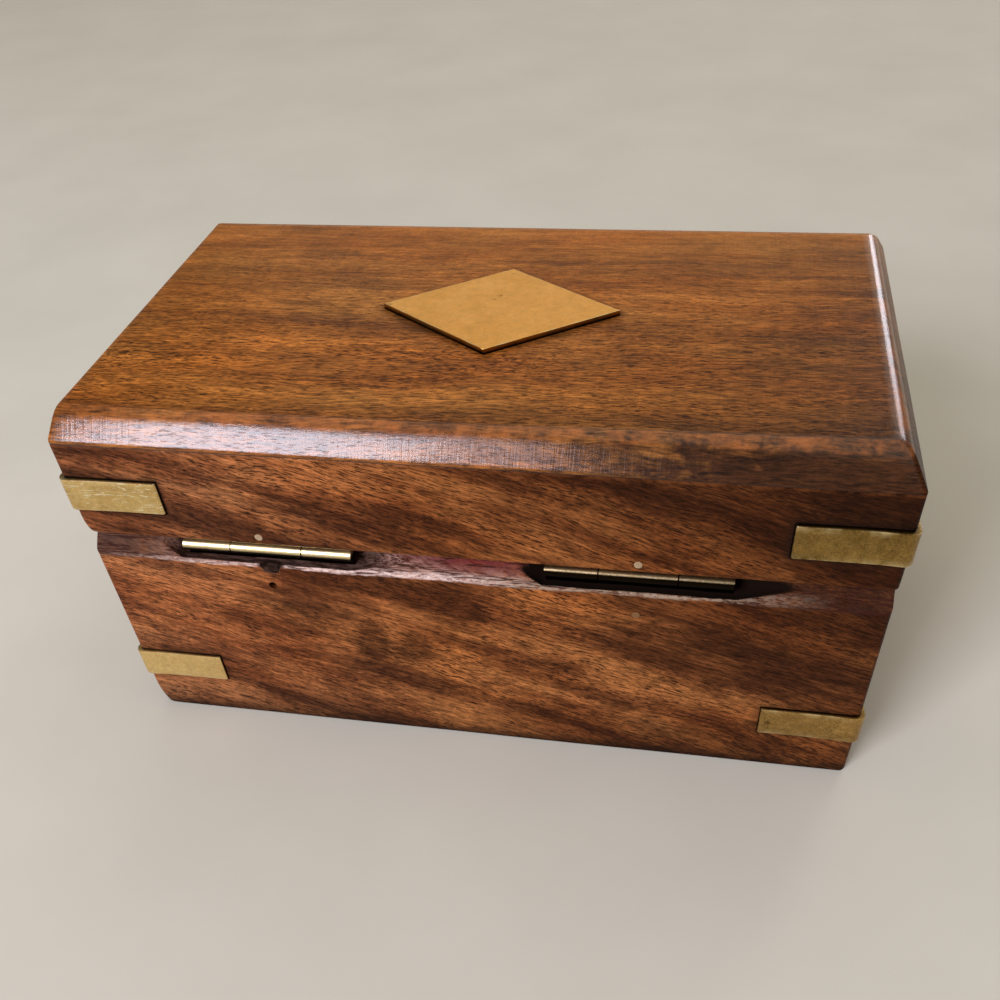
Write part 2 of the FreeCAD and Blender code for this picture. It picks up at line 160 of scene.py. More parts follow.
def loft(rings):
    """Rows of point numbers for rings of equal count, and the quads between neighbouring rings."""
    count = len(rings[0])
    rows = [list(range(k * count, (k + 1) * count)) for k in range(len(rings))]
    faces = []
    for first, second in zip(rows, rows[1:]):
        faces += ring_faces(first, second)
    return rows, faces


def skin(rings):
    """Points and faces of a closed skin over rings of equal count, with flat ends."""
    rows, faces = loft(rings)
    ends = [tuple(reversed(rows[0])), tuple(rows[-1])]
    return [point for ring in rings for point in ring], ends + faces


def add_piece(name, points, faces, body, node, material, marks=None, crease=38):
    """A mesh piece from points in millimetres, which rides on a body and stands for a node."""
    mesh = bpy.data.meshes.new(name)
    mesh.from_pydata([Vector(point) * MM for point in points], [], faces)
    shape = bmesh.new()
    shape.from_mesh(mesh)
    bmesh.ops.recalc_face_normals(shape, faces=shape.faces)
    shape.to_mesh(mesh)
    shape.free()
    mesh.shade_smooth()
    mesh.set_sharp_from_angle(angle=math.radians(crease))
    for mark, values in (marks or {}).items():
        layer = mesh.attributes.new(mark, "FLOAT", "POINT")
        layer.data.foreach_set("value", values)
    mesh.materials.append(material)
    piece = bpy.data.objects.new(name, mesh)
    bpy.context.scene.collection.objects.link(piece)
    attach(piece, body)
    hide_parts(node)
    return piece


# Small helpers for materials

def srgb(red, green, blue):
    """A colour written as it shows on a screen, from 0 to 255."""
    shown = [channel / 255 for channel in (red, green, blue)]
    linear = [c / 12.92 if c <= 0.04045 else ((c + 0.055) / 1.055) ** 2.4 for c in shown]
    return (*linear, 1.0)


class NodeBench:
    """Adds nodes to a tree. An input given a socket is linked, and any other value is set."""

    def __init__(self, tree):
        self.tree = tree

    def add(self, kind, inputs=None, **settings):
        node = self.tree.nodes.new(kind)
        for name, value in settings.items():
            setattr(node, name, value)
        self.fill(node.inputs, inputs or {})
        return node

    def fill(self, sockets, values):
        for name, value in values.items():
            if isinstance(value, bpy.types.NodeSocket):
                self.tree.links.new(value, sockets[name])
            else:
                sockets[name].default_value = value

    def math(self, operation, first, second=0.0, clamp=False):
        node = self.add("ShaderNodeMath", {0: first, 1: second}, operation=operation, use_clamp=clamp)
        return node.outputs[0]

    def plus(self, first, second):
        return self.math("ADD", first, second)

    def minus(self, first, second):
        return self.math("SUBTRACT", first, second)

    def times(self, first, second):
        return self.math("MULTIPLY", first, second)

    def vector(self, operation, first, second, output=0):
        node = self.add("ShaderNodeVectorMath", {0: first, 1: second}, operation=operation)
        return node.outputs[output]

    def spread(self, value, low, high, to_low=0.0, to_high=1.0):
        """The value moved from one range to another, held at its ends."""
        node = self.add("ShaderNodeMapRange", {
            "Value": value, "From Min": low, "From Max": high, "To Min": to_low, "To Max": to_high,
        })
        return node.outputs[0]

    def mix(self, share, first, second, blend="MIX"):
        node = self.add("ShaderNodeMix", {0: share, 6: first, 7: second},
                        data_type="RGBA", blend_type=blend)
        return node.outputs[2]

    def noise(self, point, stretch, detail, roughness=0.55, distortion=0.0, output="Fac"):
        """Noise whose stretch gives waves per millimetre along each way of the point."""
        node = self.add("ShaderNodeTexNoise", {
            "Vector": self.vector("MULTIPLY", point, stretch), "Scale": 1.0, "Detail": detail,
            "Roughness": roughness, "Distortion": distortion,
        })
        return node.outputs[output]

    def cells(self, point, stretch, seed):
        """The distance from a cell's middle, and a chance that is the same all over the cell."""
        scaled = self.vector("MULTIPLY", point, stretch)
        node = self.add("ShaderNodeTexVoronoi", {"Vector": scaled, "Scale": 1.0})
        return node.outputs["Distance"], self.math("FRACT", self.times(node.outputs["Color"], seed))

    def place(self):
        return self.add("ShaderNodeTexCoord").outputs["Object"]

    def point(self, turn=(0.0, 0.0, 0.0), shift=(0.0, 0.0, 0.0)):
        """The point on the piece in millimetres, turned so that X runs along the grain."""
        return self.add("ShaderNodeMapping", {
            "Vector": self.place(),
            "Location": shift,
            "Rotation": [math.radians(angle) for angle in turn],
            "Scale": (1 / MM, 1 / MM, 1 / MM),
        }).outputs[0]

    def mark(self, name):
        return self.add("ShaderNodeAttribute", attribute_name=name).outputs["Fac"]

    def along(self, way):
        """How far the point on the piece lies along a direction, in millimetres."""
        return self.vector("DOT_PRODUCT", self.place(), [part / MM for part in way], "Value")

    def away_from(self, centre, stretch):
        """How far the point lies from a place in millimetres, with each way stretched."""
        off = self.vector("SUBTRACT", self.place(), [part * MM for part in centre])
        scaled = self.vector("MULTIPLY", off, [part / MM for part in stretch])
        return self.vector("LENGTH", scaled, (0, 0, 0), "Value")

    def bump(self, height, strength, distance=0.0002):
        values = {"Height": height, "Strength": strength, "Distance": distance}
        return self.add("ShaderNodeBump", values).outputs["Normal"]

    def group(self, tree, values):
        """A group placed in a material with its own values."""
        return self.add("ShaderNodeGroup", values, node_tree=tree).outputs


def new_group(name, inputs, outputs):
    """An empty node group with named sockets, its bench, and its inner ends."""
    group = bpy.data.node_groups.new(name, "ShaderNodeTree")
    for socket, kind in inputs:
        group.interface.new_socket(socket, in_out="INPUT", socket_type="NodeSocket" + kind)
    for socket, kind in outputs:
        group.interface.new_socket(socket, in_out="OUTPUT", socket_type="NodeSocket" + kind)
    bench = NodeBench(group)
    given = bench.add("NodeGroupInput").outputs
    result = bench.add("NodeGroupOutput").inputs
    return group, bench, given, result


def new_material(name):
    """A material with its bench and its Principled shader."""
    material = bpy.data.materials.new(name)
    material.use_nodes = True
    bench = NodeBench(material.node_tree)
    shader = material.node_tree.nodes["Principled BSDF"]
    return material, bench, shader


# Shader groups: figured wood, wear with soiling and painted shade, and aged brass

def make_figured_wood():
    group, bench, given, result = new_group(
        "figured_wood",
        [("Point", "Vector"), ("Light", "Color"), ("Middle", "Color"), ("Dark", "Color"),
         ("Deep", "Color"), ("HeartAndShade", "Float"), ("Bands", "Float"), ("Clouds", "Float"),
         ("Streaks", "Float"), ("Lines", "Float"), ("Pores", "Float")],
        [("Colour", "Color"), ("Roughness", "Float"), ("Height", "Float"), ("Pore", "Float")],
    )
    half = (0.5, 0.5, 0.5)
    wander = bench.noise(given["Point"], (0.007, 0.03, 0.03), 2.0, output="Color")
    sway = bench.vector("MULTIPLY", bench.vector("SUBTRACT", wander, half), (0.0, 11.0, 11.0))
    flame = bench.noise(given["Point"], (0.045, 0.1, 0.1), 2.0, output="Color")
    curl = bench.vector("MULTIPLY", bench.vector("SUBTRACT", flame, half), (0.0, 3.2, 3.2))
    point = bench.vector("ADD", bench.vector("ADD", given["Point"], sway), curl)
    bands = bench.noise(point, (0.008, 0.11, 0.11), 2.0, 0.6)
    streaks = bench.noise(point, (0.03, 1.3, 1.3), 3.0, 0.65)
    fibres = bench.noise(point, (0.85, 4.0, 4.0), 3.0, 0.65)
    lines = bench.noise(point, (0.28, 2.3, 2.3), 3.0, 0.6)
    patches = bench.noise(point, (0.2, 0.6, 0.6), 2.0, 0.6)
    clouds = bench.noise(given["Point"], (0.045, 0.075, 0.075), 5.0, 0.62)
    ripples = bench.noise(given["Point"], (2.6, 0.12, 0.12), 2.0)
    cloud_tone = bench.times(bench.minus(clouds, 0.5), given["Clouds"])
    streak_tone = bench.times(bench.minus(streaks, 0.5), given["Streaks"])
    band_tone = bench.times(bench.minus(bands, 0.5), given["Bands"])
    tone = bench.plus(bench.plus(band_tone, 0.5), bench.plus(cloud_tone, streak_tone))
    colour = bench.mix(bench.spread(tone, 0.33, 0.5), given["Dark"], given["Middle"])
    colour = bench.mix(bench.spread(tone, 0.5, 0.66), colour, given["Light"])
    warmth = bench.noise(given["Point"], (0.018, 0.06, 0.06), 3.0, 0.6)
    hue = bench.mix(bench.spread(warmth, 0.35, 0.65), (0.93, 1.03, 1.13, 1.0), (1.07, 0.98, 0.86, 1.0))
    colour = bench.mix(1.0, colour, hue, "MULTIPLY")
    # the deep colour stands for heartwood and for painted shade
    colour = bench.mix(given["HeartAndShade"], colour, given["Deep"])
    line_tint = bench.times(bench.spread(lines, 0.3, 0.7, -0.52, 0.52), given["Lines"])
    tint = bench.plus(line_tint, bench.spread(fibres, 0.32, 0.68, 0.76, 1.24))
    tint = bench.times(tint, bench.spread(patches, 0.32, 0.68, 0.86, 1.15))
    tint = bench.times(tint, bench.spread(ripples, 0.3, 0.7, 0.92, 1.08))
    colour = bench.mix(1.0, colour, tint, "MULTIPLY")
    crowd_field = bench.noise(given["Point"], (0.03, 0.12, 0.12), 2.0)
    crowd = bench.spread(crowd_field, 0.34, 0.62, 0.14, 0.8)
    pore = None
    for stretch, seed in (((0.36, 2.8, 2.8), 3.7), ((0.55, 4.2, 4.2), 5.3)):
        away, chance = bench.cells(point, stretch, seed)
        chosen = bench.math("LESS_THAN", chance, crowd)
        depth = bench.times(bench.spread(away, 0.24, 0.38, 1.0, 0.0), chosen)
        pore = depth if pore is None else bench.math("MAXIMUM", pore, depth)
    pore = bench.times(pore, given["Pores"])
    colour = bench.mix(bench.times(pore, 0.92), colour, srgb(40, 17, 8))
    rough = bench.plus(bench.spread(fibres, 0.3, 0.7, 0.25, 0.35), bench.times(pore, 0.1))
    height = bench.plus(bench.times(fibres, 0.3), bench.times(streaks, 0.3))
    height = bench.plus(height, bench.times(ripples, 0.2))
    height = bench.minus(height, bench.times(pore, 0.3))
    bench.fill(result, {"Colour": colour, "Roughness": rough, "Height": height, "Pore": pore})
    return group


def make_wear_grime_and_shade():
    group, bench, given, result = new_group(
        "wear_grime_and_shade",
        [("Point", "Vector"), ("Arris", "Float"), ("GrimeAndShade", "Float"), ("Colour", "Color"),
         ("Bare", "Color"), ("DirtAndShade", "Color")],
        [("Colour", "Color")],
    )
    patches = bench.noise(given["Point"], (0.22, 0.22, 0.22), 4.0, 0.65)
    worn = bench.times(given["Arris"], bench.spread(patches, 0.42, 0.62))
    colour = bench.mix(bench.times(worn, 0.6), given["Colour"], given["Bare"])
    # darkening from the mark: soiling in places, and painted shade in recesses, gaps and hollows
    dirt_and_shade = bench.times(given["GrimeAndShade"], bench.spread(patches, 0.2, 0.5, 0.7, 1.0))
    bench.fill(result, {"Colour": bench.mix(dirt_and_shade, colour, given["DirtAndShade"])})
    return group


def make_aged_brass():
    group, bench, given, result = new_group(
        "aged_brass",
        [("Point", "Vector"), ("Bright", "Color"), ("Dull", "Color"), ("Tarnish", "Float"),
         ("Mottle", "Float"), ("Spots", "Float"), ("Scratches", "Float")],
        [("Colour", "Color"), ("Roughness", "Float"), ("Height", "Float")],
    )
    clouds = bench.noise(given["Point"], (0.2, 0.2, 0.2), 5.0, 0.65)
    mottle = bench.noise(given["Point"], (1.1, 1.1, 1.1), 4.0, 0.65)
    brushed = bench.noise(given["Point"], (0.4, 0.4, 6.5), 3.0, 0.6)
    scratch_field = bench.noise(given["Point"], (0.3, 0.3, 2.2), 2.0, 0.5, 1.5)
    cloud_share = bench.times(bench.spread(clouds, 0.34, 0.66), given["Tarnish"])
    colour = bench.mix(cloud_share, given["Bright"], given["Dull"])
    speckle = bench.noise(given["Point"], (3.4, 3.4, 3.4), 3.0, 0.7)
    uneven = bench.spread(speckle, 0.32, 0.68, -0.2, 0.16)
    uneven = bench.plus(bench.spread(mottle, 0.3, 0.7, -0.14, 0.1), uneven)
    uneven = bench.times(uneven, given["Mottle"])
    tint = bench.plus(uneven, bench.spread(brushed, 0.3, 0.7, 0.93, 1.06))
    colour = bench.mix(1.0, colour, tint, "MULTIPLY")
    away, chance = bench.cells(given["Point"], (0.24, 0.24, 0.24), 6.7)
    fray = bench.spread(speckle, 0.3, 0.7, -0.08, 0.08)
    fray = bench.plus(bench.spread(mottle, 0.3, 0.7, -0.1, 0.1), fray)
    ragged = bench.plus(away, fray)
    chosen = bench.math("LESS_THAN", chance, 0.4)
    spot = bench.times(bench.spread(ragged, 0.05, 0.15, 1.0, 0.0), chosen)
    spot = bench.times(spot, given["Spots"])
    colour = bench.mix(bench.times(spot, 0.75), colour, srgb(88, 58, 26))
    scratch = bench.times(bench.spread(scratch_field, 0.59, 0.64), given["Scratches"])
    colour = bench.mix(bench.times(scratch, 0.75), colour, srgb(255, 244, 206))
    rough = bench.plus(bench.spread(clouds, 0.3, 0.7, 0.3, 0.44), bench.times(spot, 0.25))
    rough = bench.minus(rough, bench.times(scratch, 0.1))
    height = bench.plus(bench.times(mottle, 0.4), bench.times(brushed, 0.25))
    height = bench.minus(height, bench.times(spot, 0.5))
    bench.fill(result, {"Colour": colour, "Roughness": rough, "Height": height})
    return group


figured_wood = make_figured_wood()
wear_grime_and_shade = make_wear_grime_and_shade()
aged_brass = make_aged_brass()


def knife_cut_rim(bench, point, colour):
    """Pale bare wood with splits where the rim was cut by hand, dyed by the felt in the middle, with a
    painted sheen on the cut near the middle and a painted highlight along the lip.
    """
    fresh = bench.noise(point, (0.2, 1.3, 1.3), 4.0, 0.7)
    # paler cut wood near the rim's middle, partly a painted sheen
    pale_cut_and_sheen = bench.spread(bench.away_from((18, 44, 46), (0.024, 0.02, 0.02)), 0.6, 1.15, 1.0, 0.0)
    high = bench.mix(pale_cut_and_sheen, srgb(94, 70, 58), srgb(206, 158, 142))
    cut_colour = bench.mix(bench.spread(fresh, 0.36, 0.6), srgb(74, 46, 36), high)
    dye = bench.spread(bench.away_from((-3, 41.3, 48.4), (0.05, 0.25, 0.25)), 0.35, 1.0, 0.9, 0.0)
    cut_colour = bench.mix(dye, cut_colour, srgb(124, 30, 40))
    away = bench.spread(bench.along((-1, 0, 0)), -10, 50, 0.7, 0.15)
    cut = bench.mark("rough_cut")
    colour = bench.mix(bench.times(cut, away), colour, cut_colour)
    # a painted highlight along the rim's lip over worn bare wood, paler towards the window's side
    rightward = bench.spread(bench.along((1, 0, 0)), -12, 6)
    lip_wear_and_highlight_colour = bench.mix(rightward, srgb(164, 140, 118), srgb(234, 204, 192))
    speckle = bench.noise(bench.point(), (0.9, 2.4, 2.4), 3.0, 0.7)
    lip = bench.times(cut, bench.spread(bench.along((-0.011, 1, 0)), 43.35, 44.0))
    reach = bench.away_from((8, 44, 45), (0.0148, 0, 0))
    lip = bench.times(lip, bench.spread(reach, 0.7, 1.1, 1.0, 0.0))
    gouge = bench.away_from((GOUGE_PLACE, half_depth, 45), (0.36, 0.3, 0.2))
    lip = bench.times(lip, bench.spread(gouge, 0.8, 1.1))
    lip = bench.times(lip, bench.spread(speckle, 0.36, 0.56))
    colour = bench.mix(lip, colour, lip_wear_and_highlight_colour)
    seam = bench.noise(bench.point(), (0.04, 0.9, 0.9), 3.0, 0.6)
    seam = bench.math("ABSOLUTE", bench.minus(seam, 0.5))
    split = bench.times(cut, bench.spread(seam, 0.012, 0.03, 0.9, 0.0))
    return bench.mix(split, colour, srgb(58, 28, 20))


@dataclass
class WoodTones:
    """The colours of a board from the palest to the darkest, and of its bare wood."""
    light: tuple
    middle: tuple
    dark: tuple
    deep: tuple
    bare: tuple


def lacquered_wood(name, turn, shift, tones, bands, clouds, streaks, lines, pores, gloss,
                   heart_and_shade=None, stains=(), painted_sheen=None, knife_cut=False, polished=None, calm=None):
    """A lacquered board.

    heart gives a direction, the places along it between which the wood darkens, and how far: darker
    heartwood, and painted shade towards the box's left end.
    stains gives dark stains, each with its place, its stretch and how dark it is.
    faded gives a direction and the places along it between which the wood turns greyer.
    polished gives the coat's weight where handling has polished the wood.
    faded gives a direction and the places along it between which the wood turns greyer and bluer, a painted
    sheen of the window's light.
    their share before.
    """
    material, bench, shader = new_material(name)
    point = bench.point(turn, shift)
    darkening_share = 0.0
    # darker towards one end: heartwood, and painted shade away from the window
    if heart_and_shade:
        way, start, end, most = heart_and_shade
        darkening_share = bench.spread(bench.along(way), start, end, 0.0, most)
    for centre, stretch, most in stains:
        ragged = bench.noise(point, (0.1, 0.16, 0.16), 4.0, 0.65)
        away = bench.away_from(centre, stretch)
        away = bench.plus(away, bench.spread(ragged, 0.3, 0.7, -0.5, 0.5))
        stain = bench.spread(away, 0.45, 1.1, most, 0.0)
        darkening_share = bench.math("MAXIMUM", darkening_share, stain)
    line_share = lines
    pore_share = pores
    if calm:
        way, start, end, least = calm
        shown = bench.spread(bench.along(way), start, end, least, 1.0)
        line_share = bench.times(shown, lines)
        pore_share = bench.times(shown, pores)
    if polished:
        filled = bench.spread(bench.mark("polish"), 0, 1, 1.0, 0.4)
        pore_share = bench.times(filled, pore_share)
    wood = bench.group(figured_wood, {
        "Point": point, "Light": tones.light, "Middle": tones.middle, "Dark": tones.dark,
        "Deep": tones.deep, "HeartAndShade": darkening_share, "Bands": bands, "Clouds": clouds,
        "Streaks": streaks, "Lines": line_share, "Pores": pore_share,
    })
    colour = wood["Colour"]
    # painted sheen: towards the window's side the wood turns bluer and greyer
    if painted_sheen:
        way, start, end = painted_sheen
        share = bench.spread(bench.along(way), start, end)
        sheen_tint = bench.mix(share, (1, 1, 1, 1), (0.98, 1.06, 1.42, 1))
        colour = bench.mix(1.0, colour, sheen_tint, "MULTIPLY")
    if knife_cut:
        colour = knife_cut_rim(bench, point, colour)
    # worn edges, and the darkening mark: soiling and painted shade
    edges = bench.group(wear_grime_and_shade, {
        "Point": point, "Arris": bench.mark("arris"), "GrimeAndShade": bench.mark("grime_and_shade"),
        "Colour": colour, "Bare": tones.bare, "DirtAndShade": srgb(26, 16, 10),
    })
    dull = bench.plus(bench.mark("rough_cut"), bench.mark("grime_and_shade"))
    bench.fill(shader.inputs, {
        "Base Color": edges["Colour"],
        "Roughness": bench.math("ADD", wood["Roughness"], bench.times(dull, 0.3), clamp=True),
        "Normal": bench.bump(wood["Height"], 0.5),
        "Specular IOR Level": gloss,
    })
    if polished:
        coat = bench.spread(bench.mark("polish"), 0, 1, gloss / 4, polished)
        fibres = bench.noise(point, (0.85, 4.0, 4.0), 3.0, 0.65)
        ripples = bench.noise(point, (2.6, 0.12, 0.12), 2.0)
        bench.fill(shader.inputs, {
            "Coat Weight": bench.times(coat, bench.spread(wood["Pore"], 0, 0.4, 1.0, 0.5)),
            "Coat Roughness": 0.15,
            "Coat Normal": bench.bump(bench.plus(fibres, ripples), 0.3, 0.00006),
        })
    return material


def brass(name, bright, dull, tarnish, mottle, spots, scratches=0.0, grime_and_shade_line=None):
    """Old brass. grime_and_shade_line gives the levels between which it darkens downwards, soiling with
    painted shade on a hinge barrel's underside.
    """
    material, bench, shader = new_material(name)
    point = bench.point()
    metal = bench.group(aged_brass, {
        "Point": point, "Bright": bright, "Dull": dull, "Tarnish": tarnish, "Mottle": mottle,
        "Spots": spots, "Scratches": scratches,
    })
    if grime_and_shade_line:
        # painted shade, with some soiling, on the lower part of a hinge
        start, end = grime_and_shade_line
        grime_and_shade = bench.spread(bench.along((0, 0, 1)), start, end, 0.0, 1.3)
    else:
        grime_and_shade = bench.times(bench.mark("grime_and_shade"), 0.9)
    edges = bench.group(wear_grime_and_shade, {
        "Point": point, "Arris": bench.times(bench.mark("arris"), 1.5), "GrimeAndShade": grime_and_shade,
        "Colour": metal["Colour"], "Bare": srgb(250, 226, 168), "DirtAndShade": srgb(26, 18, 10),
    })
    bench.fill(shader.inputs, {
        "Base Color": edges["Colour"],
        "Roughness": metal["Roughness"],
        "Normal": bench.bump(metal["Height"], 0.2),
        "Metallic": 1.0,
    })
    return material


def crimson_felt_finish():
    material, bench, shader = new_material("crimson_felt")
    point = bench.point()
    nap = bench.noise(point, (2.4, 2.4, 2.4), 5.0, 0.7)
    rub = bench.noise(point, (0.06, 0.06, 0.06), 4.0, 0.6)
    colour = bench.mix(bench.spread(nap, 0.35, 0.65), srgb(92, 12, 22), srgb(142, 26, 36))
    colour = bench.mix(bench.spread(rub, 0.45, 0.7, 0.0, 0.35), colour, srgb(112, 34, 38))
    bench.fill(shader.inputs, {
        "Base Color": colour,
        "Roughness": bench.spread(rub, 0.3, 0.7, 0.98, 0.86),
        "Normal": bench.bump(nap, 0.6, 0.0003),
        "Sheen Weight": 0.3,
        "Sheen Tint": srgb(190, 84, 88),
        "Sheen Roughness": 0.5,
        "Specular IOR Level": 0.15,
    })
    return material


wall_tones = WoodTones(
    srgb(164, 98, 50), srgb(126, 70, 34), srgb(82, 42, 19), srgb(40, 17, 6), srgb(122, 69, 34))
top_wood = lacquered_wood(
    "lacquered_top", (0, 0, 0), (11, 3, 0),
    WoodTones(srgb(173, 106, 44), srgb(146, 86, 33), srgb(107, 60, 24),
              srgb(44, 21, 11), srgb(196, 112, 48)),
    bands=0.6, clouds=0.5, streaks=0.5, lines=1.35, pores=1.0, gloss=0.06,
    heart_and_shade=((-0.6, 0.8, 0), 22, 78, 0.9), stains=(((-62, 43, 75), (0.017, 0.19, 0.05), 0.92),),
    polished=0.7, calm=((0, 1, 0), -34, 20, 0.2))
back_wood = lacquered_wood(
    "lacquered_back", (0, 16, 0), (0, 0, 40), wall_tones,
    bands=1.3, clouds=0.9, streaks=0.4, lines=1.25, pores=1.0, gloss=0.05,
    heart_and_shade=((-1, 0, 1.2), 56, 144, 0.97),
    stains=(((22, 44, 26), (0.19, 0.1, 0.13), 0.72), ((12.5, 44, 25), (0.17, 0.1, 0.14), 0.68),
            ((34, 44, 33), (0.07, 0.1, 0.12), 0.55), ((-58, 44, 4), (0.018, 0.1, 0.09), 0.5)),
    painted_sheen=((1, 0, 0), 5, 60), knife_cut=True)
front_wood = lacquered_wood(
    "lacquered_front", (0, -6, 0), (300, 40, 9), wall_tones,
    bands=1.0, clouds=0.7, streaks=0.35, lines=0.7, pores=0.9, gloss=0.08)
side_wood = lacquered_wood(
    "lacquered_sides", (0, 0, -90), (120, 70, 21), wall_tones,
    bands=1.0, clouds=0.7, streaks=0.35, lines=0.7, pores=0.9, gloss=0.08)
# The straps at the box's right end are paler and those at its left end darker: partly tarnish, partly lit
# and shaded copies of one brass, painted light and shade
strap_brass = {
    ("lid", "right"): brass(
        "lid_right_strap_brass", srgb(226, 194, 128), srgb(198, 160, 94),
        tarnish=0.7, mottle=1.0, spots=0.6, scratches=1.0),
    ("base", "right"): brass(
        "base_right_strap_brass", srgb(246, 214, 146), srgb(222, 184, 114),
        tarnish=0.6, mottle=0.9, spots=0.5),
    ("lid", "left"): brass(
        "lid_left_strap_brass", srgb(160, 128, 70), srgb(118, 92, 45),
        tarnish=0.8, mottle=1.8, spots=1.0),
    ("base", "left"): brass(
        "base_left_strap_brass", srgb(190, 152, 88), srgb(146, 114, 60),
        tarnish=0.8, mottle=1.7, spots=0.9),
}
diamond_brass = brass(
    "diamond_brass", srgb(244, 182, 94), srgb(230, 168, 82), tarnish=0.5, mottle=0.45, spots=0.8)
# Lit and shaded copies of one hinge brass, painted light and shade: the right hinge paler, the left one
# darker and more tarnished
lit_hinge_brass = brass(
    "lit_hinge_brass", srgb(252, 230, 176), srgb(222, 192, 130),
    tarnish=0.6, mottle=0.6, spots=0.4, scratches=0.2, grime_and_shade_line=(47.9, 47.2))
shaded_tarnished_hinge_brass = brass(
    "shaded_tarnished_hinge_brass", srgb(206, 184, 138), srgb(140, 116, 74),
    tarnish=0.8, mottle=0.9, spots=0.6, scratches=0.3, grime_and_shade_line=(48.42, 48.05))
pale_nail_metal = brass(
    "pale_nail_metal", srgb(226, 202, 178), srgb(196, 168, 132), tarnish=0.6, mottle=0.6, spots=0.3)
brown_nail_metal = brass(
    "brown_nail_metal", srgb(172, 132, 94), srgb(138, 100, 68), tarnish=0.8, mottle=0.6, spots=0.5)
crimson_felt = crimson_felt_finish()


# The boards of the base's and the lid's walls

@dataclass
class Board:
    """A wall board, drawn as if it stood at the back, then turned to its side of the box."""
    node: str
    body: str
    quarter_turns: int
    long: bool
    low: float
    high: float
    bed_low: float
    bed_high: float
    rebate_height: float
    worn_ends: tuple
    worn_rise: float
    carved: bool
    step: float
    seed: float

    def __post_init__(self):
        self.half_run = half_length if self.long else lap_face
        self.face = half_depth if self.long else half_length
        self.inner = inner_half_depth if self.long else inner_half_length
        self.bed_start = self.reach - (half_length - strap_start) - STRAP_GAP

    @property
    def reach(self):
        """Half the box's own length along this board."""
        return half_length if self.long else half_depth

    def corner_radius(self, along, level):
        """The upright corner's radius, larger where the lower corner has been worn round."""
        share = max(0.0, 1.0 - (level - self.low) / self.worn_rise)
        worn_round = self.worn_ends[1 if along > 0 else 0]
        return CORNER_RADIUS + (worn_round - CORNER_RADIUS) * share * share

    def outline(self, along, angle, inset, level):
        """A point of the outer face. An angle places it on the turn round the box's corner."""
        if angle is None:
            return along, self.face - inset
        radius = max(0.2, self.corner_radius(along, level) - inset)
        reach = self.half_run - inset - radius * (1 - math.sin(angle))
        return math.copysign(reach, along), self.face - inset - radius * (1 - math.cos(angle))

    def inner_face(self, along):
        """The inner face, or the rebate that takes a side board at a long board's end."""
        if self.long and abs(along) > inner_half_length:
            return lap_face
        return self.inner

    def stations(self):
        """Places along the board, closer at the strap beds and the rebates, then round each corner."""
        marks = [0.0] + [self.bed_start - away for away in (2.2, 1.1, 0.5, BED_EDGE, -BED_EDGE)]
        if self.long:
            marks += [inner_half_length - BED_EDGE, inner_half_length + BED_EDGE]
            marks.append(self.half_run - max(self.worn_ends) - 0.4)
        else:
            marks.append(self.half_run)
        half = [(0.0, None)]
        for first, second in zip(marks, marks[1:]):
            count = max(1, round((second - first) / self.step))
            half += [(between(first, second, (k + 1) / count), None) for k in range(count)]
        if self.long:
            half += [(self.half_run, math.radians(11.25 * k)) for k in range(9)]
        return [(-along, angle) for along, angle in reversed(half[1:])] + half

    def face_grime_and_shade(self, along, level):
        """Dark stain with painted shade in a strap's bed and round it, widest above, and painted contact
        shade at the base's foot.
        """
        above = max(0.0, level - self.bed_high) / BED_STAIN_AND_SHADE_ABOVE
        below = max(0.0, self.bed_low - level) / BED_STAIN_AND_SHADE_BELOW
        before = max(0.0, self.bed_start - abs(along)) / BED_STAIN_AND_SHADE_BEFORE
        away = math.hypot(max(above, below), before)
        # the bed's stain is partly soiling and partly painted shade round the strap
        stain = 0.8 if self.body == "lid" else 0.5
        bed = stain + 0.2 if away == 0 else stain * math.exp(-away)
        # painted contact shade, darker towards the bottom of the base
        foot = 0.3 * max(0.0, 1 - level / FOOT_SHADE_HIGH) + 0.7 * max(0.0, 1 - level / FOOT_SHADE_LOW)
        return max(bed, foot)

    def turned(self, along, out, level):
        for _ in range(self.quarter_turns):
            along, out = -out, along
        return along, out, level


hinge_centres = []
for hinge_side in ("left", "right"):
    pin_low, pin_high = node_box(hinge_side + "_hinge_pin")
    hinge_centres.append((pin_low + pin_high) / 2)
    hinge_half_length = (pin_high.x - pin_low.x) / 2


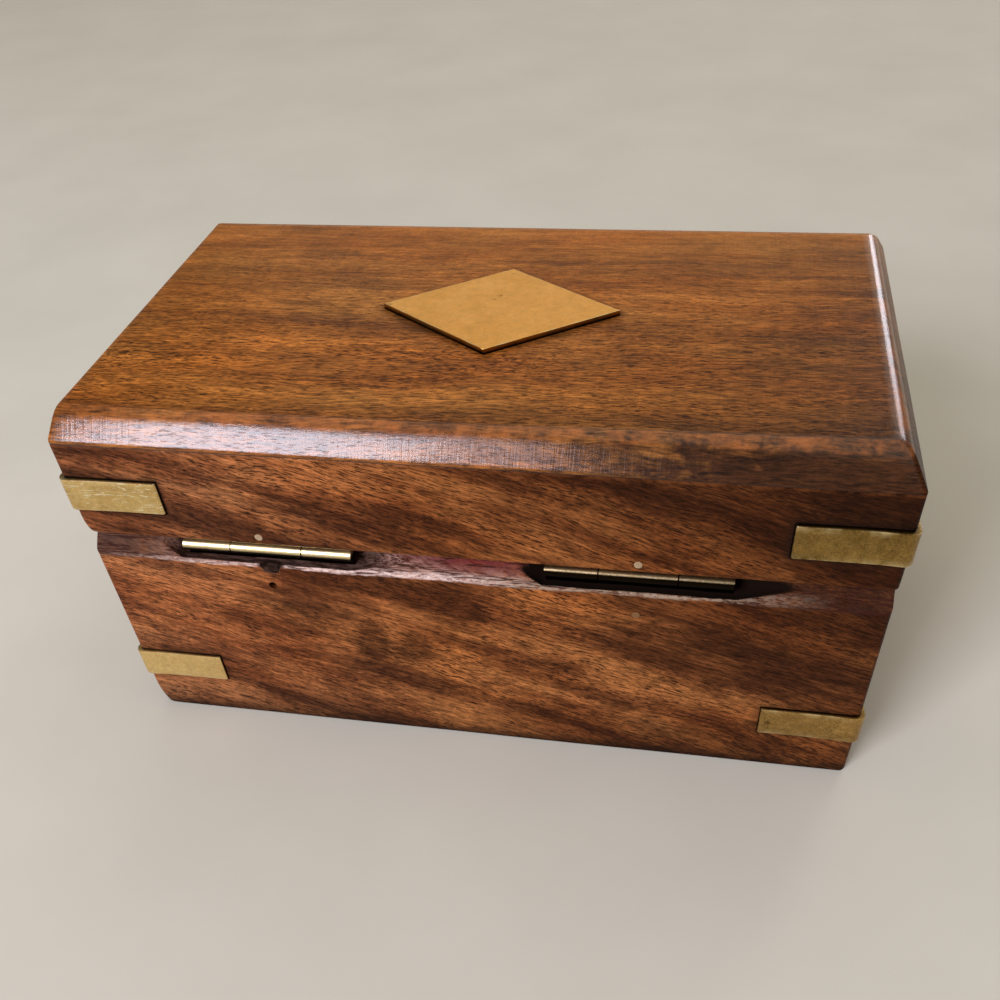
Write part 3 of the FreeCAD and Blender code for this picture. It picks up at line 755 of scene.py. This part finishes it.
def carved_rim(along, out):
    """Height and darkening of the base's back rim, cut by hand, gouged, and hollowed round each hinge; the
    darkening is painted shade in the hollows, and soiling with painted shade in the gouge.
    """
    depth = (RIM_CHAMFER_DEPTH + 0.3 * ripple(along, 0, seed=1, size=12)
             + 0.12 * ripple(along, 0, seed=2, size=3))
    height = (RIM_CHAMFER_HEIGHT + 0.4 * ripple(along, 0, seed=3, size=15)
              + 0.2 * ripple(along, 0, seed=4, size=2.5))
    start = half_depth - depth
    level = rim - max(0.0, out - start) * height / depth
    level -= 0.22 * max(0.0, ripple(along, out * 2.5, seed=6, size=1.6) - 0.1)
    lip = half_depth - out
    if lip < RIM_LIP:
        level -= RIM_LIP * (1 - lip / RIM_LIP) ** 2
    torn = 1 + 0.3 * ripple(along, out, seed=8, size=0.9)
    aside = along - GOUGE_PLACE
    gouge = 1 - (aside / (GOUGE_HALF_LENGTH * torn)) ** 2 - (lip / (GOUGE_REACH * torn)) ** 2
    level -= GOUGE_DEPTH * math.sqrt(max(0.0, gouge))
    # soiling and painted shade in and round the gouge
    near = 1 - (aside / GOUGE_SOIL_AND_SHADE_HALF_LENGTH) ** 2 - (lip / GOUGE_SOIL_AND_SHADE_REACH) ** 2
    grime_and_shade = min(1.0, 2.2 * max(0.0, near))
    for centre in hinge_centres:
        past = along - centre.x
        trough = hinge_half_length + HOLLOW_END_GAP
        run = HOLLOW_RUN_LEFT if past < 0 else HOLLOW_RUN_RIGHT
        share = 1.0 - max(0.0, abs(past) - trough) / run
        if share <= 0:
            continue
        radius = share * (HOLLOW_RADIUS + 0.15 * ripple(along, out, seed=5, size=3))
        off = out - centre.y
        if abs(off) >= radius:
            continue
        bottom = centre.z - math.sqrt(radius * radius - off * off)
        # painted shade in the hollow, darker where it is deeper
        if bottom < level:
            if centre.x > 0:
                dirt_and_shade = min(HOLLOW_SHADE_RIGHT, 0.8 * share ** 3 * (level - bottom) / HOLLOW_SHADE_DEPTH)
            else:
                dirt_and_shade = min(HOLLOW_SHADE_LEFT, 1.35 * (level - bottom) / HOLLOW_SHADE_DEPTH)
            grime_and_shade = max(grime_and_shade, dirt_and_shade)
            level = bottom
    return level, grime_and_shade


def plain_rim(board, out, outer_edge, inner_edge):
    """Height of a board's top edge, with both of its arrises taken off."""
    level = board.high
    for away in (outer_edge - out, out - inner_edge):
        if away < ARRIS:
            level -= ARRIS - math.sqrt(ARRIS ** 2 - (ARRIS - max(0.0, away)) ** 2)
    return level


def outer_line(board, along, angle):
    """Points up the outer face and over the rim: (along, out, level, arris, grime)."""
    bedded = angle is not None or abs(along) > board.bed_start
    wave = FACE_WAVE + FACE_WAVE * ripple(along, 0, seed=board.seed, size=30)
    line = []
    for k in range(5):
        turn = math.radians(22.5 * k)
        line.append((wave + ARRIS * (1 - math.sin(turn)), board.low + ARRIS * (1 - math.cos(turn)), 0.25))
    low = board.low + ARRIS + 0.4
    line.append((wave, low, 0.0))
    line += [(wave, between(low, board.bed_low - 1.0, k / 5), 0.0) for k in range(1, 6)]
    line += [(wave, board.bed_low - away, 0.0) for away in (0.4, BED_EDGE)]
    bed_inset = STRAP_BED_DEPTH if bedded else wave
    line += [(bed_inset, between(board.bed_low + BED_EDGE, board.bed_high - BED_EDGE, k / 3), 0.0)
             for k in range(4)]
    line += [(wave, board.bed_high + away, 0.0) for away in (BED_EDGE, 0.5, 1.2)]
    edge_along, edge_out = board.outline(along, angle, wave, board.high)
    inner = board.inner_face(along)
    if board.carved:
        face_top = carved_rim(along, edge_out)[0]
    else:
        face_top = plain_rim(board, edge_out, edge_out, inner)
    upper = board.bed_high + 2.2
    line += [(wave, between(upper, face_top - 0.4, k / 7), 0.0) for k in range(8)]
    line.append((wave, face_top, 0.0 if board.carved else 1.0))
    points = []
    for inset, level, mark in line:
        place, out = board.outline(along, angle, inset, level)
        points.append((place, out, level, mark, board.face_grime_and_shade(place, level)))
    if board.carved:
        points[-1] = points[-1][:4] + (carved_rim(along, edge_out)[1],)
        steps = RIM_POINTS - 4
        shares = [0.006, 0.015, 0.03, 0.05] + [0.05 + 0.95 * k / steps for k in range(1, steps + 1)]
        for share in shares:
            out = between(edge_out, inner, share)
            level, grime_and_shade = carved_rim(along, out)
            points.append((edge_along, out, level, 0.0, grime_and_shade))
    else:
        offsets = [ARRIS * share for share in (0.15, 0.4, 0.7, 1.0)]
        for away in offsets + [ARRIS + 0.5]:
            level = plain_rim(board, edge_out - away, edge_out, inner)
            points.append((edge_along, edge_out - away, level, 1.0 if away < ARRIS else 0.0, 0.0))
        for away in [ARRIS + 0.5] + offsets[::-1] + [0.0]:
            level = plain_rim(board, inner + away, edge_out, inner)
            points.append((edge_along, inner + away, level, 1.0 if away < ARRIS else 0.0, 0.0))
    return points


def inner_line(board, along, count):
    """As many points as the outer line has, up the inner face from the rebate for the bottom board."""
    inner = board.inner_face(along)
    floor = board.low + board.rebate_height
    line = []
    if board.rebate_height:
        rebate = max(inner, board.inner + bottom_high.x - inner_half_length)
        line = [(rebate, board.low), (rebate, floor)]
    rest = count - len(line)
    top = board.high - ARRIS - 0.3
    line += [(inner, between(floor, top, k / (rest - 1))) for k in range(rest)]
    return [(along, out, level, 0.0, 0.0) for out, level in line]


def add_board(board, material):
    rings = []
    for along, angle in board.stations():
        outer = outer_line(board, along, angle)
        inner = inner_line(board, along, len(outer))
        inner = [(outer[k][0],) + inner[k][1:] for k in range(len(inner))]
        rings.append(outer + inner[::-1])
    count = len(rings[0])
    points = [board.turned(*entry[:3]) for ring in rings for entry in ring]
    rows, faces = loft(rings)
    for row in (rows[0], rows[-1]):
        for k in range(count // 2 - 1):
            faces.append((row[k], row[k + 1], row[count - 2 - k], row[count - 1 - k]))
    marks = {
        "arris": [entry[3] for ring in rings for entry in ring],
        "grime_and_shade": [entry[4] for ring in rings for entry in ring],
    }
    if board.carved:
        face_points = count // 2 - RIM_POINTS
        cut = [1.0 if face_points - 1 <= k < count // 2 else 0.0 for k in range(count)]
        marks["rough_cut"] = cut * len(rings)
    name = board.node.replace("_board", "_wall")
    return add_piece(name, points, faces, board.body, board.node, material, marks)


def drill(piece, centre, radius, depth):
    """Bores a small hole into a piece's back face."""
    tool = bmesh.new()
    place = Matrix.Translation(Vector(centre) * MM) @ Matrix.Rotation(math.radians(90), 4, "X")
    bmesh.ops.create_cone(tool, cap_ends=True, segments=20, radius1=radius * MM, radius2=radius * MM,
                          depth=2 * depth * MM, matrix=place)
    bit_mesh = bpy.data.meshes.new("nail_bit")
    tool.to_mesh(bit_mesh)
    tool.free()
    bit = bpy.data.objects.new("nail_bit", bit_mesh)
    bpy.context.scene.collection.objects.link(bit)
    cut = piece.modifiers.new("nail_hole", "BOOLEAN")
    cut.operation = "DIFFERENCE"
    cut.object = bit
    bpy.context.view_layer.update()
    drilled = bpy.data.meshes.new_from_object(piece.evaluated_get(bpy.context.evaluated_depsgraph_get()))
    piece.modifiers.remove(cut)
    piece.data = drilled
    bpy.data.objects.remove(bit)


wall_woods = {"back": back_wood, "left": side_wood, "front": front_wood, "right": side_wood}
for body, low, high, strap_low, strap_high in (
        ("base", 0.0, rim, base_strap_low, base_strap_high),
        ("lid", lid_back_low.z, lid_back_high.z, lid_strap_low, lid_strap_high)):
    for turns, side in enumerate(SIDES):
        hollowed = body == "base" and side == "back"
        wall = Board(
            node=f"{body}_{side}_board",
            body=body,
            quarter_turns=turns,
            long=side in ("back", "front"),
            low=low,
            high=high,
            bed_low=strap_low.z - STRAP_GAP,
            bed_high=strap_high.z + STRAP_GAP,
            rebate_height=bottom_high.z if body == "base" else 0.0,
            worn_ends=WORN_ENDS[body][::-1] if side == "front" else WORN_ENDS[body],
            worn_rise=WORN_RISE[body],
            carved=hollowed,
            step=CARVED_STEP if hollowed else WALL_STEP,
            seed=10.0 + turns + (4.0 if body == "lid" else 0.0),
        )
        board_piece = add_board(wall, wall_woods[side])
        if hollowed:
            drill(board_piece, sunk_nail_place, SUNK_NAIL_RADIUS, SUNK_NAIL_DEPTH)


# The lid's top board, with its uneven rounded bevel and the bed for the lozenge

def rounded_outline(corners, radius):
    """Points round a four-cornered outline, anticlockwise, each corner rounded by the same radius."""
    corners = [Vector(corner) for corner in corners]
    arcs = []
    for k, corner in enumerate(corners):
        start = corner + (corners[k - 1] - corner).normalized() * radius
        end = corner + (corners[(k + 1) % 4] - corner).normalized() * radius
        arc = []
        for j in range(TOP_CORNER_STEPS + 1):
            share = j / TOP_CORNER_STEPS
            weights = ((1 - share) ** 2, 2 * share * (1 - share) * math.sqrt(0.5), share * share)
            arc.append((start * weights[0] + corner * weights[1] + end * weights[2]) / sum(weights))
        arcs.append(arc)
    points = []
    for k, arc in enumerate(arcs):
        points += arc
        following = arcs[(k + 1) % 4][0]
        points += [arc[-1].lerp(following, j / TOP_SIDE_STEPS) for j in range(1, TOP_SIDE_STEPS)]
    return points


def rounded_turn(before, corner, after, steps):
    """Points of a soft turn from one place to another round a corner."""
    shares = [k / steps for k in range(steps + 1)]
    return [before.lerp(corner, share).lerp(corner.lerp(after, share), share) for share in shares]


def bevel_runs(side, x):
    """How far in a bevel's facet would meet the flat top, and how far in its worn turn ends."""
    if side != "back":
        return END_BEVELS[side]
    for first, second in zip(BACK_BEVEL, BACK_BEVEL[1:]):
        if x <= second[0]:
            break
    share = (x - first[0]) / (second[0] - first[0])
    return between(first[1], second[1], share), between(first[2], second[2], share)


def bevel_profile(side, x):
    """How far in and how far up the bevel goes at each step: a band, a facet and soft turns."""
    facet_run, flat_run = bevel_runs(side, x)
    joint = Vector((0, lid_top_low.z))
    height = lid_top_high.z - lid_top_low.z
    band_share = between(BAND_LEFT, BAND_RIGHT, (x + half_length) / (2 * half_length))
    band_top = joint + Vector((0, height * band_share))
    facet_top = Vector((facet_run, lid_top_high.z))
    flat = Vector((flat_run, lid_top_high.z))
    lower_turn = rounded_turn(joint.lerp(band_top, 0.4), band_top, band_top.lerp(facet_top, 0.1), 5)
    upper_turn = rounded_turn(facet_top.lerp(band_top, 0.45), facet_top, flat, BEVEL_TURN_STEPS)
    facet_middle = lower_turn[-1].lerp(upper_turn[0], 0.5)
    return [joint, joint.lerp(band_top, 0.2)] + lower_turn + [facet_middle] + upper_turn


def bevel_ring(step, share):
    """The lid top's outline at one step up its bevel, each side as far in as its own bevel."""
    back_right = bevel_profile("back", half_length)[step].x
    back_left = bevel_profile("back", -half_length)[step].x
    right = half_length - bevel_profile("right", half_length)[step].x
    left = bevel_profile("left", -half_length)[step].x - half_length
    front = bevel_profile("front", 0)[step].x - half_depth
    corners = [(right, half_depth - back_right), (left, half_depth - back_left),
               (left, front), (right, front)]
    radius = between(CORNER_RADIUS, TOP_CORNER_RADIUS, share)
    ring = []
    for k, place in enumerate(rounded_outline(corners, radius)):
        profile = bevel_profile("back", place.x)
        if TOP_CORNER_STEPS < k < TOP_CORNER_STEPS + TOP_SIDE_STEPS:
            place.y = half_depth - profile[step].x
        ring.append((place, profile[step].y))
    return ring


def add_lid_top():
    rings = []
    marks = []

    def add_ring(ring, arris=0.0, grime_and_shade=0.0, polish=None):
        rings.append(ring)
        marks.append((arris, grime_and_shade, polish or [0.0] * len(ring)))

    steps = len(bevel_profile("back", 0))
    joint_ring = bevel_ring(0, 0)
    facet_polish = [0.05 if place.x < CORNER_RADIUS - half_length else 1.0 for place, level in joint_ring]
    for step in range(steps):
        ring = []
        for place, level in bevel_ring(step, step / (steps - 1)):
            worn = 0.08 + 0.06 * ripple(place.x, place.y, seed=21, size=16) if step < steps - 1 else 0.0
            x, y = place - place.normalized() * worn
            ring.append((x, y, level))
        turning = step >= steps - BEVEL_TURN_STEPS + 2
        polish = [1.0] * len(ring) if turning else facet_polish
        # the turn's rings show paler bare wood, wear and painted light; the joint and the band above it
        # darken, a dark joint line with painted shade on the band
        add_ring(ring, 0.8 if turning and step < steps - 1 else 0.0, max(0.0, 0.9 - 0.25 * step), polish)
    top = [place for place, level in bevel_ring(steps - 1, 1)]
    reach_x = diamond_high.x + DIAMOND_GAP
    reach_y = diamond_high.y + DIAMOND_GAP * diamond_high.y / diamond_high.x
    bed = [place / (abs(place.x) / reach_x + abs(place.y) / reach_y) for place in top]
    for tip in ((reach_x, 0), (0, reach_y), (-reach_x, 0), (0, -reach_y)):
        nearest = min(range(len(bed)), key=lambda k: (bed[k] - Vector(tip)).length)
        bed[nearest] = Vector(tip)
    # rings in to the lozenge's bed; the last ring and the bed darken, painted shade in the gap round the
    # lozenge
    for share in (0.02, 0.06, 0.15, 0.3, 0.5, 0.7, 0.85, 0.95, 1.0):
        ring = []
        for outer, inner in zip(top, bed):
            place = outer.lerp(inner, share)
            dip = min(1.0, share / 0.3) * (0.06 + 0.05 * ripple(place.x, place.y, seed=22, size=34))
            ring.append((place.x, place.y, lid_top_high.z - dip))
        add_ring(ring, 0.0, 0.6 if share == 1.0 else 0.0)
    floor = lid_top_high.z - DIAMOND_BED_DEPTH
    for level in (floor + 0.3, floor):
        add_ring([(point.x, point.y, level) for point in bed], 0.0, 1.0)
    points, faces = skin(rings)
    count = len(top)
    values = {
        "arris": [mark[0] for mark in marks for _ in range(count)],
        "grime_and_shade": [mark[1] for mark in marks for _ in range(count)],
        "polish": [share for mark in marks for share in mark[2]],
    }
    add_piece("lid_top", points, faces, "lid", "lid_top_board", top_wood, values)


add_lid_top()


# The brass straps let in round the corners, and the lozenge

def strap_path():
    """Stations along a strap at the back right corner: (place, outward way, distance from the ends)."""
    bend_x = half_length - CORNER_RADIUS
    bend_y = half_depth - CORNER_RADIUS
    leg = half_length - strap_start - CORNER_RADIUS
    quarter = CORNER_RADIUS * math.pi / 2
    steps = range(1, STRAP_LEG_STEPS + 1)
    straight = [0.0, 0.12, STRAP_END_RUN]
    straight += [between(STRAP_END_RUN, leg, k / STRAP_LEG_STEPS) for k in steps]
    stations = [(Vector((bend_x - leg + s, half_depth)), Vector((0, 1)), s) for s in straight]
    for k in range(1, STRAP_BEND_STEPS):
        angle = math.radians(90 - 90 * k / STRAP_BEND_STEPS)
        way = Vector((math.cos(angle), math.sin(angle)))
        place = Vector((bend_x, bend_y)) + way * CORNER_RADIUS
        stations.append((place, way, leg + quarter * k / STRAP_BEND_STEPS))
    stations += [(Vector((half_length, bend_y - leg + s)), Vector((1, 0)), s)
                 for s in reversed(straight)]
    return stations


def add_strap(node, body, low, high, flip_x, flip_y, seed, material):
    rings = []
    arris = []
    grime_and_shade = []
    stations = strap_path()
    leg = half_length - strap_start - CORNER_RADIUS
    travelled = 0.0
    for k, (place, way, from_end) in enumerate(stations):
        if k:
            travelled += (place - stations[k - 1][0]).length
        ease = STRAP_END_EASE * max(0.0, 1 - from_end / STRAP_END_RUN) ** 2
        spring = max(0.0, 1 - abs(from_end - leg) / STRAP_SPRING) ** 2 if from_end < leg else 1.0
        outer = between(STRAP_END_PROUD, strap_proud, spring) - STRAP_PLAY - ease
        lower = low + STRAP_PLAY + STRAP_PLAY * ripple(travelled, 0, seed=seed, size=9) + ease * 0.5
        upper = high - STRAP_PLAY + STRAP_PLAY * ripple(travelled, 0, seed=seed + 0.5, size=9) - ease * 0.5
        # the strap's edges darken down into the bed: soiling and painted shade in the gap
        border = [(-STRAP_BED_DEPTH + 0.02, 0.0, 0, 1), (0.0, 0.0, 0, 0.7), (outer - 0.26, 0.0, 0, 0.2),
                  (outer - 0.07, 0.07, 1, 0), (outer, 0.28, 0.4, 0)]
        section = [(off, lower + inward, edge, dirt_and_shade) for off, inward, edge, dirt_and_shade in border]
        for share in (0.2, 0.4, 0.6, 0.8):
            level = between(lower, upper, share)
            dent = 0.05 * ripple(travelled, level, seed=seed + 1.5, size=4.5)
            section.append((outer + dent, level, 0, 0))
        section += [(off, upper - inward, edge, dirt_and_shade) for off, inward, edge, dirt_and_shade in reversed(border)]
        ring = []
        for off, level, edge, dirt_and_shade in section:
            x, y = place + way * off
            ring.append((x * flip_x, y * flip_y, level))
            arris.append(edge)
            grime_and_shade.append(dirt_and_shade)
        rings.append(ring)
    points, faces = skin(rings)
    name = node.replace("strap", "brass_strap")
    add_piece(name, points, faces, body, node, material, {"arris": arris, "grime_and_shade": grime_and_shade})


for body, low, high in (("base", base_strap_low.z, base_strap_high.z),
                        ("lid", lid_strap_low.z, lid_strap_high.z)):
    for corner, flip_x, flip_y in (("back_right", 1, 1), ("back_left", -1, 1),
                                   ("front_left", -1, -1), ("front_right", 1, -1)):
        seed = 30.0 + flip_x + 3 * flip_y + (9 if body == "lid" else 0)
        finish = strap_brass[body, "right" if flip_x > 0 else "left"]
        add_strap(f"{body}_strap_{corner}", body, low, high, flip_x, flip_y, seed, finish)


def add_diamond():
    tips = [Vector((diamond_high.x, 0)), Vector((0, diamond_high.y)),
            Vector((diamond_low.x, 0)), Vector((0, diamond_low.y))]
    outline = []
    for k, tip in enumerate(tips):
        following = tips[(k + 1) % 4]
        outline += [tip.lerp(following, j / DIAMOND_SIDE_STEPS) for j in range(DIAMOND_SIDE_STEPS)]
    low = diamond_low.z + 0.05
    high = diamond_high.z - 0.08
    rings = []
    marks = []
    # the lozenge's sides darken towards the wood, tarnish and painted shade; its top arris is worn paler
    edge = [(0.985, low, 0, 1), (0.99, low + 0.9, 0, 1), (0.995, high - 0.6, 0, 0.7),
            (0.995, high - 0.1, 0, 0.5), (0.993, high - 0.03, 1, 0.1), (0.988, high, 1, 0)]
    face = [(share, high, 0, 0) for share in (0.975, 0.9, 0.75, 0.55, 0.35, 0.15, 0.04)]
    for share, level, arris, grime_and_shade in edge + face:
        ring = []
        for point in outline:
            x, y = point * share
            ring.append((x, y, level + (0.04 * ripple(x, y, seed=41, size=14) if share < 0.97 else 0.0)))
        rings.append(ring)
        marks.append((arris, grime_and_shade))
    points, faces = skin(rings)
    count = len(outline)
    values = {
        "arris": [mark[0] for mark in marks for _ in range(count)],
        "grime_and_shade": [mark[1] for mark in marks for _ in range(count)],
    }
    add_piece("lid_brass_diamond", points, faces, "lid", "lid_diamond_plate",
              diamond_brass, values, crease=60)


add_diamond()


# The felt lining, ten sheets with soft edges and a little unevenness

def add_felt(node, body):
    low, high = node_box(node)
    size = high - low
    thin = min(range(3), key=lambda axis: size[axis])
    first, second = [axis for axis in range(3) if axis != thin]
    columns = max(4, round(size[first] / FELT_STEP))
    rows = max(4, round(size[second] / FELT_STEP))
    seed = 50 + sum(low) * 0.01

    def sheet_point(u, v, level):
        point = [0.0, 0.0, 0.0]
        point[first] = u
        point[second] = v
        point[thin] = level
        return tuple(point)

    points = []
    numbers = {}
    for face, level in ((0, low[thin]), (1, high[thin])):
        for i in range(columns + 1):
            for j in range(rows + 1):
                u = between(low[first], high[first], i / columns)
                v = between(low[second], high[second], j / rows)
                edge = min(i, columns - i, j, rows - j)
                middle = (low[thin] + high[thin]) / 2
                soft = between(middle, level, 0.55 if edge == 0 else 0.9)
                soft += 0.04 * ripple(u, v, seed=seed, size=14) * (1 if edge else 0)
                numbers[face, i, j] = len(points)
                points.append(sheet_point(u, v, soft))
    faces = []
    for i in range(columns):
        for j in range(rows):
            for face in (0, 1):
                faces.append((numbers[face, i, j], numbers[face, i + 1, j],
                              numbers[face, i + 1, j + 1], numbers[face, i, j + 1]))
    border = [(i, 0) for i in range(columns)] + [(columns, j) for j in range(rows)]
    border += [(i, rows) for i in range(columns, 0, -1)] + [(0, j) for j in range(rows, 0, -1)]
    faces += ring_faces([numbers[0, i, j] for i, j in border], [numbers[1, i, j] for i, j in border])
    piece = add_piece(node.replace("_felt", "_lining"), points, faces, body, node,
                      crimson_felt, crease=70)


add_felt("base_floor_felt", "base")
add_felt("lid_ceiling_felt", "lid")
for body in ("base", "lid"):
    for side in SIDES:
        add_felt(f"{body}_{side}_felt", body)


# Finishes of the CAD nodes that stay

def finish_node(node, material):
    for material_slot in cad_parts[node].material_slots:
        material_slot.material = material


# the left hinge takes the shaded brass, the right one the lit brass
for hinge_side, hinge_finish in (("left", shaded_tarnished_hinge_brass), ("right", lit_hinge_brass)):
    for hinge_part in ("base_leaf", "lid_leaf", "pin"):
        finish_node(f"{hinge_side}_hinge_{hinge_part}", hinge_finish)
finish_node("base_hinge_nails", brown_nail_metal)
finish_node("lid_hinge_nails", pale_nail_metal)
finish_node("base_bottom_board", front_wood)


# Floor, light and camera

def pale_floor_finish():
    material, bench, shader = new_material("pale_floor")
    point = bench.point()
    mottle = bench.noise(point, (0.02, 0.02, 0.02), 3.0)
    colour = bench.mix(bench.spread(mottle, 0.3, 0.7), srgb(206, 201, 186), srgb(212, 207, 192))
    bench.fill(shader.inputs, {"Base Color": colour, "Roughness": 0.9, "Specular IOR Level": 0.2})
    return material


FLOOR_HALF = 3.0
floor_mesh = bpy.data.meshes.new("floor")
floor_corners = [(x * FLOOR_HALF, y * FLOOR_HALF, 0) for x, y in ((-1, -1), (1, -1), (1, 1), (-1, 1))]
floor_mesh.from_pydata(floor_corners, [], [(0, 1, 2, 3)])
floor_mesh.materials.append(pale_floor_finish())
floor = bpy.data.objects.new("floor", floor_mesh)
bpy.context.scene.collection.objects.link(floor)


def add_softbox(name, place, aim, width, height, power, colour):
    lamp = bpy.data.lights.new(name, "AREA")
    lamp.shape = "RECTANGLE"
    lamp.size = width
    lamp.size_y = height
    lamp.energy = power
    lamp.color = colour
    softbox = bpy.data.objects.new(name, lamp)
    bpy.context.scene.collection.objects.link(softbox)
    softbox.location = place
    softbox.rotation_euler = (Vector(aim) - Vector(place)).to_track_quat("-Z", "Y").to_euler()


add_softbox("window_softbox", (0.57, 0.97, 0.74), (0, 0, 0.04), 0.48, 0.44, 15.2, (0.82, 0.85, 1.0))
add_softbox("side_softbox", (0.23, 0.93, 0.87), (0, 0, 0.07), 0.2, 0.36, 1.5, (1.0, 0.86, 0.98))
add_softbox("overhead_panel", (0, -0.2, 1.6), (0, -0.2, 0), 2.0, 2.0, 10.8, (1.0, 0.94, 0.84))
add_softbox("back_panel", (0, -1.4, 0.88), (0, 0, 0.08), 1.6, 0.9, 2.8, (1.0, 0.93, 0.82))
add_softbox("far_softbox", (-0.745, -1.575, 0.6), (-0.07, 0, 0.07), 0.42, 0.62, 4.6, (0.9, 0.91, 1.0))

world = bpy.data.worlds.new("studio")
world.use_nodes = True
room_light = world.node_tree.nodes["Background"].inputs
room_light["Color"].default_value = (1.0, 0.94, 0.84, 1.0)
room_light["Strength"].default_value = 0.14
bpy.context.scene.world = world

CAMERA_PLACE = (-38.695, 179.015, 168.21)
CAMERA_AIM = (0.16909, -0.67831, -0.71505)
CAMERA_ROLL = -0.087
camera_data = bpy.data.cameras.new("camera")
camera_data.lens = 35.78
camera_data.sensor_width = 36.0
camera_data.shift_y = 0.15286
camera = bpy.data.objects.new("camera", camera_data)
bpy.context.scene.collection.objects.link(camera)
forward = Vector(CAMERA_AIM).normalized()
level_right = forward.cross(Vector((0, 0, 1))).normalized()
level_up = level_right.cross(forward)
right = math.cos(CAMERA_ROLL) * level_right + math.sin(CAMERA_ROLL) * level_up
up = -math.sin(CAMERA_ROLL) * level_right + math.cos(CAMERA_ROLL) * level_up
camera_pose = Matrix((right, up, -forward)).transposed().to_4x4()
camera_pose.translation = Vector(CAMERA_PLACE) * MM
camera.matrix_world = camera_pose
bpy.context.scene.camera = camera

bpy.context.scene.view_settings.view_transform = "Standard"
